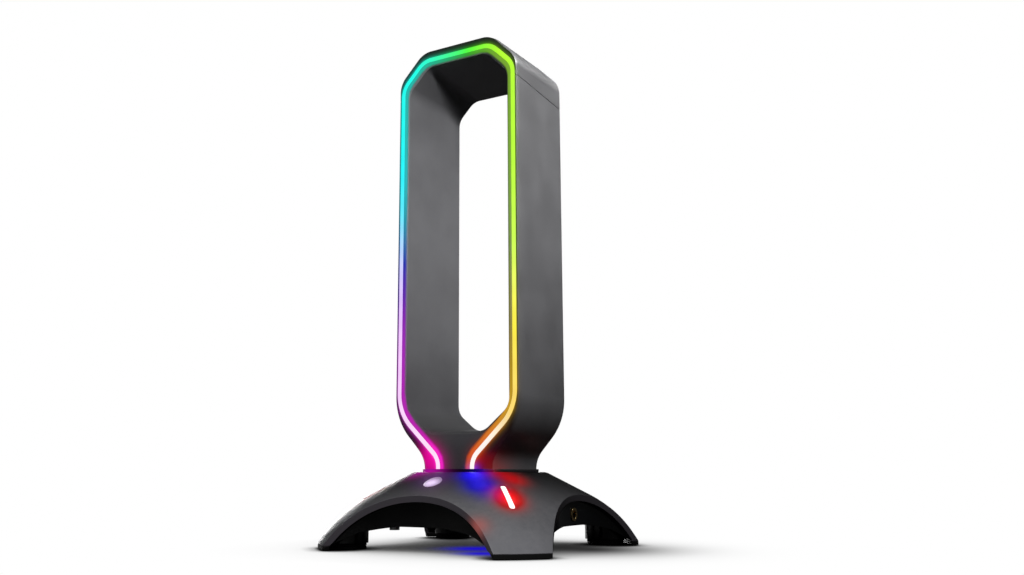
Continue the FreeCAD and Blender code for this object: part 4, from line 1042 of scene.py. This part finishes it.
def turned_tree(name):
    """A round part turned about a line, with rounded ends and ribs along its side."""
    tree, given, out = geometry_tree(name, [
        ("Start", "NodeSocketVector", (0, 0, 0)), ("End", "NodeSocketVector", (0, 0, 1 * MM)),
        ("Radius", "NodeSocketFloat", 5 * MM), ("Rounding", "NodeSocketFloat", 0.5 * MM),
        ("Ribs", "NodeSocketInt", 3), ("Rib Depth", "NodeSocketFloat", 0.2 * MM),
        ("Steps", "NodeSocketInt", 40), ("Facets", "NodeSocketInt", 64)])
    line = add_node(tree, "GeometryNodeCurvePrimitiveLine", {"Start": given["Start"], "End": given["End"]})
    steps = add_node(tree, "GeometryNodeResampleCurve", {"Curve": line.outputs[0], "Count": given["Steps"]})
    along = add_node(tree, "GeometryNodeSplineParameter")
    nearest_end = maths(tree, "MINIMUM", along.outputs["Length"],
                        maths(tree, "SUBTRACT", add_node(tree, "GeometryNodeSplineLength").outputs[0],
                              along.outputs["Length"]))
    inside = maths(tree, "SUBTRACT", 1.0, maths(tree, "DIVIDE", nearest_end, given["Rounding"]), clamp=True)
    arc = maths(tree, "SQRT", maths(tree, "SUBTRACT", 1.0, maths(tree, "MULTIPLY", inside, inside)))
    cut_back = maths(tree, "MULTIPLY", maths(tree, "SUBTRACT", 1.0, arc), given["Rounding"])
    ribs_so_far = maths(tree, "MULTIPLY", along.outputs["Factor"], given["Ribs"])
    turns = maths(tree, "MULTIPLY", ribs_so_far, 2 * math.pi)
    wave = remapped(tree, maths(tree, "COSINE", turns), -1.0, 1.0)
    groove = maths(tree, "MULTIPLY", wave, given["Rib Depth"])
    radius = maths(tree, "SUBTRACT", maths(tree, "SUBTRACT", given["Radius"], cut_back), groove)
    sized = add_node(tree, "GeometryNodeSetCurveRadius", {"Curve": steps.outputs[0], "Radius": radius})
    ring = add_node(tree, "GeometryNodeCurvePrimitiveCircle", {"Resolution": given["Facets"], "Radius": 1.0},
                    mode="RADIUS")
    solid = add_node(tree, "GeometryNodeCurveToMesh",
                     {"Curve": sized.outputs[0], "Profile Curve": ring.outputs[0], "Fill Caps": True})
    if "Scale" in solid.inputs:
        feed(tree, solid.inputs["Scale"], radius)
    end_tree(tree, solid.outputs[0], given["Material"], out)
    return tree


def part_way_up(tree, height, share):
    """A vector along Z, as a share of a height."""
    return add_node(tree, "ShaderNodeCombineXYZ", {2: maths(tree, "MULTIPLY", height, share)}).outputs[0]


def screw_tree(name):
    """Screws with cross-recessed heads, one hung at each point."""
    tree, given, out = geometry_tree(name, [
        ("Head Radius", "NodeSocketFloat", 2.8 * MM), ("Head Height", "NodeSocketFloat", 2 * MM),
        ("Shank Radius", "NodeSocketFloat", 1.5 * MM), ("Shank Length", "NodeSocketFloat", 6 * MM)])
    head = add_node(tree, "GeometryNodeMeshCylinder",
                    {"Vertices": 40, "Radius": given["Head Radius"], "Depth": given["Head Height"]})
    head_middle = part_way_up(tree, given["Head Height"], -0.5)
    lowered = add_node(tree, "GeometryNodeTransform",
                       {"Geometry": head.outputs[0], "Translation": head_middle})
    long_side = maths(tree, "MULTIPLY", given["Head Radius"], 1.15)
    narrow = maths(tree, "MULTIPLY", given["Head Radius"], 0.26)
    foot = part_way_up(tree, given["Head Height"], -1.0)
    slots = []
    for wide, deep in ((long_side, narrow), (narrow, long_side)):
        size = add_node(tree, "ShaderNodeCombineXYZ", {0: wide, 1: deep, 2: given["Head Height"]})
        cube = add_node(tree, "GeometryNodeMeshCube", {"Size": size.outputs[0]})
        slots.append(add_node(tree, "GeometryNodeTransform",
                              {"Geometry": cube.outputs[0], "Translation": foot}).outputs[0])
    recess = add_node(tree, "GeometryNodeMeshBoolean", operation="DIFFERENCE", solver="EXACT")
    feed(tree, recess.inputs["Mesh 1"], lowered.outputs[0])
    for slot in slots:
        tree.links.new(slot, recess.inputs["Mesh 2"])
    shank = add_node(tree, "GeometryNodeMeshCylinder",
                     {"Vertices": 24, "Radius": given["Shank Radius"], "Depth": given["Shank Length"]})
    shank_middle = part_way_up(tree, given["Shank Length"], 0.5)
    raised = add_node(tree, "GeometryNodeTransform",
                      {"Geometry": shank.outputs[0], "Translation": shank_middle})
    screw = add_node(tree, "GeometryNodeJoinGeometry")
    tree.links.new(recess.outputs[0], screw.inputs[0])
    tree.links.new(raised.outputs[0], screw.inputs[0])
    spread = add_node(tree, "GeometryNodeInstanceOnPoints",
                      {"Points": given["Geometry"], "Instance": screw.outputs[0]})
    end_tree(tree, spread.outputs[0], given["Material"], out, smooth=False)
    return tree


def contact_tree(name):
    """A row of thin spring contacts."""
    tree, given, out = geometry_tree(name, [
        ("Count", "NodeSocketInt", 4), ("First", "NodeSocketVector", (0, 0, 0)),
        ("Pitch", "NodeSocketVector", (0, CONTACT_PITCH, 0)), ("Size", "NodeSocketVector", CONTACT_SIZE)])
    row = add_node(tree, "GeometryNodeMeshLine",
                   {"Count": given["Count"], "Start Location": given["First"], "Offset": given["Pitch"]},
                   mode="OFFSET")
    strip = add_node(tree, "GeometryNodeMeshCube", {"Size": given["Size"]})
    spread = add_node(tree, "GeometryNodeInstanceOnPoints",
                      {"Points": row.outputs[0], "Instance": strip.outputs[0]})
    end_tree(tree, spread.outputs[0], given["Material"], out, smooth=False)
    return tree


def loop_path(settings):
    """The loop's middle line as an open curve, with the rounding wanted at each corner."""
    low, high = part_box("column_light_guide")
    right = loop_corners(settings)
    points = [(-across, up, rounding) for across, up, rounding in reversed(right)] + right
    curve = bpy.data.curves.new("light_loop_path", "CURVE")
    curve.dimensions = "3D"
    spline = curve.splines.new("POLY")
    spline.points.add(len(points) - 1)
    for point, (across, up, _) in zip(spline.points, points):
        point.co = (across, (low.y + high.y) / 2, up, 1)
    return curve, [rounding for _, _, rounding in points]


# ---------------------------------------------------------------- operators

class BuildColumn(bpy.types.Operator):
    """Build the column: its shell, the cap with its slanted seam, the window liner and the back cover."""
    bl_idname = "headphone_stand.column"
    bl_label = "Column"

    def execute(self, context):
        smoothed_piece("column_outer_shell", "outer_shell_finished", "satin_shell", 0.35 * MM)
        smoothed_piece("column_top_cap", "top_cap_finished", "satin_shell", 0.35 * MM)
        smoothed_piece("column_inner_liner", "inner_liner_finished", "satin_shell", 0.25 * MM)
        smoothed_piece("column_back_cover", "back_cover_finished", "satin_shell", 0.3 * MM)
        return {"FINISHED"}


class BuildCollar(bpy.types.Operator):
    """Build the thin collar round the foot of the neck."""
    bl_idname = "headphone_stand.collar"
    bl_label = "Neck collar"

    def execute(self, context):
        smoothed_piece("neck_collar", "neck_collar_finished", "satin_base", 0.2 * MM)
        return {"FINISHED"}


class BuildLightLoop(bpy.types.Operator):
    """Build the lit bar that runs round the window, and dress the lamp strip behind it."""
    bl_idname = "headphone_stand.light_loop"
    bl_label = "Light loop"

    def execute(self, context):
        settings = context.scene.stand_loop
        low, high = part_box("column_light_guide")
        curve, roundings = loop_path(settings)
        tree = lit_bar_tree("Lit bar along a path")
        carrier = bpy.data.objects.new("light_loop_carrier", curve)
        context.scene.collection.objects.link(carrier)
        mesh = bpy.data.meshes.new_from_object(carrier)
        bend = mesh.attributes.new("rounding", "FLOAT", "POINT")
        bend.data.foreach_set("value", roundings)
        bpy.data.objects.remove(carrier)
        values = {"Width": settings.width, "Depth": high.y - low.y, "Rounding": settings.lens_round,
                  "Material": finish("light_guide")}
        bar = grown_piece("light_loop_bar", mesh, tree, values, "light_guide")
        settle(bar, "column_light_guide")
        dress("column_light_strip", "circuit_board")
        dress("column_light_chips", "lamp")
        dress("column_light_harness", "cord_black")
        return {"FINISHED"}


class BuildBase(bpy.types.Operator):
    """Build the domed cover with its four arches, and the gloss tray inside it."""
    bl_idname = "headphone_stand.base"
    bl_label = "Base"

    def execute(self, context):
        settings = context.scene.stand_dome
        whole = dome_mesh(settings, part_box("base_top_cover")[1].z)
        mesh = cut_away(whole, [slit_cutter(leg) for leg in LEGS] + [touch_cutter()])
        cover = new_piece("base_cover_finished", mesh, "satin_base")
        round_edges(cover, settings.lip, segments=3)
        settle(cover, "base_top_cover")
        smoothed_piece("base_bottom_tray", "base_tray_finished", "gloss_black", 0.25 * MM)
        return {"FINISHED"}


class BuildSlits(bpy.types.Operator):
    """Dress the slit lights on the four legs and the round touch window."""
    bl_idname = "headphone_stand.slits"
    bl_label = "Slit lights and touch window"

    def execute(self, context):
        for leg in LEGS:
            smoothed_piece(f"slit_light_{leg}", f"slit_bar_{leg}", "slit_guide", 0.2 * MM)
            dress(f"slit_lamp_board_{leg}", "circuit_board")
        dress("touch_light_window", "touch_window")
        dress("touch_sensor_board", "circuit_board")
        return {"FINISHED"}


class BuildFeet(bpy.types.Operator):
    """Turn the four rubber feet, each with a rounded rim and a groove round its side."""
    bl_idname = "headphone_stand.feet"
    bl_label = "Rubber feet"

    def execute(self, context):
        tree = once("Turned ribbed part", turned_tree)
        for leg in LEGS:
            low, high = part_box(f"foot_pad_{leg}")
            middle = (low + high) / 2
            values = {"Start": (middle.x, middle.y, low.z), "End": (middle.x, middle.y, high.z),
                      "Radius": (high.x - low.x) / 2, "Rounding": 0.7 * MM, "Ribs": 2, "Rib Depth": 0.25 * MM,
                      "Material": finish("foot_rubber")}
            pad = grown_piece(f"rubber_foot_{leg}", bpy.data.meshes.new("empty"), tree, values, "foot_rubber")
            settle(pad, f"foot_pad_{leg}")
        return {"FINISHED"}


class BuildSockets(bpy.types.Operator):
    """Build the headphone socket, the two USB sockets with their contacts, and the cable gland."""
    bl_idname = "headphone_stand.sockets"
    bl_label = "Sockets and gland"

    def execute(self, context):
        smoothed_piece("jack_sleeve", "jack_sleeve_finished", "gold_contact", 0.15 * MM)
        dress("headphone_jack", "black_plastic")
        contacts = contact_tree("Row of contacts")
        for place in ("front", "rear"):
            smoothed_piece(f"usb_shell_{place}", f"usb_shell_finished_{place}", "bright_steel", 0.1 * MM)
            dress(f"usb_tongue_{place}", "black_plastic")
            low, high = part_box(f"usb_tongue_{place}")
            middle = (low + high) / 2
            first = (low.x + CONTACT_START, middle.y - CONTACT_PITCH * (CONTACT_COUNT - 1) / 2,
                     high.z - CONTACT_DROP - CONTACT_SIZE[2] / 2)
            values = {"Count": CONTACT_COUNT, "First": first, "Pitch": (0, CONTACT_PITCH, 0),
                      "Size": CONTACT_SIZE, "Material": finish("gold_contact")}
            empty = bpy.data.meshes.new("empty")
            row = grown_piece(f"usb_contacts_{place}", empty, contacts, values, "gold_contact")
            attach(row, "root")
        smoothed_piece("cable_gland", "cable_gland_finished", "foot_rubber", 0.2 * MM)
        return {"FINISHED"}


class BuildScrews(bpy.types.Operator):
    """Hang the case screws with cross-recessed heads under the tray, and dress the neck's fixings."""
    bl_idname = "headphone_stand.screws"
    bl_label = "Screws"

    def execute(self, context):
        low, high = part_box("case_screws")
        head = SCREW_HEAD_REACH * math.cos(math.radians(30))
        across = high.x - SCREW_HEAD_REACH
        along = high.y - head
        seats = bpy.data.meshes.new("seats")
        spots = [(side * across, rise * along, low.z + SCREW_HEAD_HEIGHT)
                 for side in (1, -1) for rise in (1, -1)]
        seats.from_pydata(spots, [], [])
        values = {"Head Radius": head, "Head Height": SCREW_HEAD_HEIGHT, "Shank Radius": SCREW_SHANK_RADIUS,
                  "Shank Length": high.z - low.z - SCREW_HEAD_HEIGHT, "Material": finish("bright_steel")}
        tree = screw_tree("Cross-head screws")
        group = grown_piece("case_screws_finished", seats, tree, values, "bright_steel")
        settle(group, "case_screws")
        dress("neck_screws", "bright_steel")
        dress("neck_bracket", "dark_steel")
        return {"FINISHED"}


class DressInside(bpy.types.Operator):
    """Dress the ballast, the circuit board and the parts on it."""
    bl_idname = "headphone_stand.inside"
    bl_label = "Inside of the base"

    def execute(self, context):
        dress("ballast_plate", "dark_steel")
        dress("main_circuit_board", "circuit_board")
        dress("control_chip", "black_plastic")
        dress("filter_capacitor", "black_plastic")
        dress("harness_plug", "lamp")
        return {"FINISHED"}


class BuildStage(bpy.types.Operator):
    """Lay the pale floor, hang the lamps and place the camera."""
    bl_idname = "headphone_stand.stage"
    bl_label = "Stage"

    def execute(self, context):
        lay_floor(context.scene.stand_stage)
        light_world(context.scene)
        hang_lamps(context.scene)
        place_camera(context.scene)
        context.scene.view_settings.view_transform = "Standard"
        return {"FINISHED"}


def lay_floor(settings):
    """A wide pale floor that fades into the background, with the stand's shadow and a blue pool painted in.
    """
    mesh = bpy.data.meshes.new("floor")
    shape = bmesh.new()
    bmesh.ops.create_grid(shape, x_segments=24, y_segments=24, size=4)
    shape.to_mesh(mesh)
    shape.free()
    floor = bpy.data.objects.new("studio_floor", mesh)
    bpy.context.scene.collection.objects.link(floor)
    made, tree, shader, position = new_material("Studio floor")
    sweep = add_node(tree, "ShaderNodeTexNoise", {"Vector": position, "Scale": 6.0, "Detail": 2.0})
    feed(tree, shader.inputs["Roughness"], remapped(tree, sweep.outputs[0], 0.3, 0.7, 0.55, 0.65))
    shader.inputs["Base Color"].default_value = (*settings.floor_colour, 1)
    shader.inputs["Specular IOR Level"].default_value = 0.15
    # Painted shadow: ambient occlusion darkens the floor near the stand, to the camera only.
    shade = add_node(tree, "ShaderNodeAmbientOcclusion", {"Distance": settings.shadow_reach}, samples=16)
    close = add_node(tree, "ShaderNodeAmbientOcclusion", {"Distance": settings.contact_reach}, samples=16)
    open_sky = maths(tree, "MULTIPLY", maths(tree, "POWER", shade.outputs["AO"], settings.shadow_depth),
                     maths(tree, "POWER", close.outputs["AO"], settings.contact_depth))
    near_mask = remapped(tree, vector_maths(tree, "LENGTH", position), 0.12, 0.40, 1.0, 0.0, smooth=True)
    shut_in = maths(tree, "SUBTRACT", 1.0, open_sky)
    clear = maths(tree, "SUBTRACT", 1.0, maths(tree, "MULTIPLY", near_mask, shut_in))
    pale = grey(tree, clear)
    # Painted shadow beside the right arch, at a fixed place.
    shadow = spot_mask(tree, position, (0.056, 0.012, 0), 40 * MM, (1, 1, 1))
    painted_shade_and_glow = mixed(tree, maths(tree, "MULTIPLY", shadow, settings.side_shadow), pale, (0, 0, 0))
    # Painted blue light pools under the front arch.
    for centre, reach in (((0.006, -0.014, 0), 13 * MM), ((0.024, -0.038, 0), 11 * MM)):
        pool = spot_mask(tree, position, centre, reach, (1, 1, 1))
        painted_shade_and_glow = mixed(tree, maths(tree, "MULTIPLY", pool, settings.glow), painted_shade_and_glow, srgb(26, 6, 210))
    rays = tree.nodes.new("ShaderNodeLightPath")
    seen = add_node(tree, "ShaderNodeEmission", {0: painted_shade_and_glow, 1: 1.0})
    chosen = add_node(tree, "ShaderNodeMixShader",
                      {0: rays.outputs["Is Camera Ray"], 1: shader.outputs[0], 2: seen.outputs[0]})
    feed(tree, tree.nodes["Material Output"].inputs[0], chosen.outputs[0])
    mesh.materials.append(made)


def light_world(scene):
    """White to the camera. The stand itself is lit from low down, most of all from its right."""
    settings = scene.stand_stage
    world = bpy.data.worlds.new("Studio")
    world.use_nodes = True
    tree = world.node_tree
    heading = tree.nodes.new("ShaderNodeTexCoord").outputs["Generated"]
    height = add_node(tree, "ShaderNodeSeparateXYZ", {0: heading}).outputs[2]
    low_down = remapped(tree, height, 0.05, 0.7, settings.low_light, settings.sky_light)
    towards = Vector((0.93, -0.37, 0))
    facing = vector_maths(tree, "DOT_PRODUCT", heading, towards)
    side = maths(tree, "MULTIPLY", remapped(tree, facing, 0.1, 1.0), settings.side_light)
    side_low = maths(tree, "MULTIPLY", side, remapped(tree, height, 0.1, 0.8, 1.0, 0.0))
    rays = tree.nodes.new("ShaderNodeLightPath")
    seen = maths(tree, "MAXIMUM", rays.outputs["Is Camera Ray"], rays.outputs["Is Transmission Ray"])
    cast = maths(tree, "ADD", low_down, side_low)
    background = tree.nodes["Background"]
    background.inputs[0].default_value = (1, 1, 1, 1)
    level = add_node(tree, "ShaderNodeMix", {0: seen, 2: cast, 3: 1.0}, data_type="FLOAT").outputs[0]
    feed(tree, background.inputs[1], level)
    scene.world = world


def hang_lamp(scene, name, place, target, size, power, spread=180):
    """Hang an area lamp that the camera doesn't see. A small spread in degrees makes it a beam."""
    lamp = bpy.data.lights.new(name, "AREA")
    lamp.shape = "RECTANGLE"
    lamp.size, lamp.size_y = size
    lamp.energy = power
    lamp.spread = math.radians(spread)
    holder = bpy.data.objects.new(name, lamp)
    scene.collection.objects.link(holder)
    aim = Vector(target) - Vector(place)
    holder.matrix_world = Matrix.Translation(place) @ aim.to_track_quat("-Z", "Y").to_matrix().to_4x4()
    holder.visible_camera = False
    return holder


def light_only(lamp, state, pieces):
    """Let a lamp light only these pieces, or all but these."""
    lit = bpy.data.collections.new(f"Lit by {lamp.name}")
    for index, piece in enumerate(pieces):
        lit.objects.link(piece)
        lit.collection_objects[index].light_linking.link_state = state
    lamp.light_linking.receiver_collection = lit


def hang_lamps(scene):
    """Beams for the column and its window, and low lamps for the slopes of the base."""
    stage = scene.stand_stage
    cover, liner = (bpy.data.objects[name] for name in ("base_cover_finished", "inner_liner_finished"))
    side = hang_lamp(
        scene, "side_lamp", (0.50, 0.35, 0.73), (0, 0, 0.19), (0.35, 0.2), stage.key_power, BEAM_SPREAD)
    front = hang_lamp(
        scene, "front_lamp", (0.60, -0.47, 0.65), (0, 0, 0.21), (0.35, 0.2), stage.fill_power, BEAM_SPREAD)
    window = hang_lamp(
        scene, "window_lamp", (0.55, -0.60, 0.42), (0, 0, 0.18), (0.3, 0.18), stage.window_power, BEAM_SPREAD)
    slopes = hang_lamp(
        scene, "leg_lamp", (0.18, -0.38, 0.03), (0.05, -0.05, 0.012), (0.1, 0.04), stage.leg_power)
    rear = hang_lamp(scene, "rear_lamp", (-0.60, 0.45, 0.40), (0, 0, 0.12), (0.4, 0.4), stage.rear_power)
    low_rear = hang_lamp(
        scene, "low_rear_lamp", (-0.30, 0.34, 0.06), (-0.04, 0.04, 0.01), (0.3, 0.1), stage.low_rear_power)
    for lamp in (window, slopes):
        lamp.visible_glossy = False
    for lamp in (side, front):
        light_only(lamp, "EXCLUDE", [cover, liner])
    light_only(rear, "EXCLUDE", [cover])
    light_only(window, "INCLUDE", [liner])
    for lamp in (slopes, low_rear):
        light_only(lamp, "INCLUDE", [cover])


def place_camera(scene):
    """A low camera in front and to the right, turned up towards the window."""
    camera = bpy.data.cameras.new("Camera")
    camera.lens = 34.94
    camera.shift_x = 0.035
    camera.clip_start = 0.01
    holder = bpy.data.objects.new("Camera", camera)
    holder.location = (0.2731, -0.4427, 0.0371)
    holder.rotation_euler = (math.radians(90 + 10.53), 0, math.radians(31.89))
    scene.collection.objects.link(holder)
    scene.camera = holder


class HeadphoneStandPanel(bpy.types.Panel):
    """Settings of the stand, and one button for each group of pieces."""
    bl_idname = "VIEW3D_PT_headphone_stand"
    bl_label = "Headphone stand"
    bl_space_type = "VIEW_3D"
    bl_region_type = "UI"
    bl_category = "Headphone stand"

    def draw(self, context):
        for name in SETTINGS:
            settings = getattr(context.scene, name)
            box = self.layout.box()
            box.label(text=name.removeprefix("stand_").capitalize())
            for setting in settings.bl_rna.properties.keys():
                if setting not in {"rna_type", "name"}:
                    box.prop(settings, setting)
        for operator in OPERATORS:
            self.layout.operator(operator.bl_idname)


SETTINGS = {
    "stand_finish": FinishSettings,
    "stand_lights": LightSettings,
    "stand_loop": LoopSettings,
    "stand_dome": DomeSettings,
    "stand_stage": StageSettings,
}
OPERATORS = (BuildColumn, BuildCollar, BuildLightLoop, BuildBase, BuildSlits, BuildFeet, BuildSockets,
             BuildScrews, DressInside, BuildStage)


def register():
    for name, group in SETTINGS.items():
        bpy.utils.register_class(group)
        setattr(bpy.types.Scene, name, bpy.props.PointerProperty(type=group))
    for kind in (*OPERATORS, HeadphoneStandPanel):
        bpy.utils.register_class(kind)


def unregister():
    for kind in (HeadphoneStandPanel, *reversed(OPERATORS)):
        bpy.utils.unregister_class(kind)
    for name, group in reversed(SETTINGS.items()):
        delattr(bpy.types.Scene, name)
        bpy.utils.unregister_class(group)


def main():
    register()
    for operator in OPERATORS:
        group, name = operator.bl_idname.split(".")
        getattr(getattr(bpy.ops, group), name)()


if __name__ == "__main__":
    main()
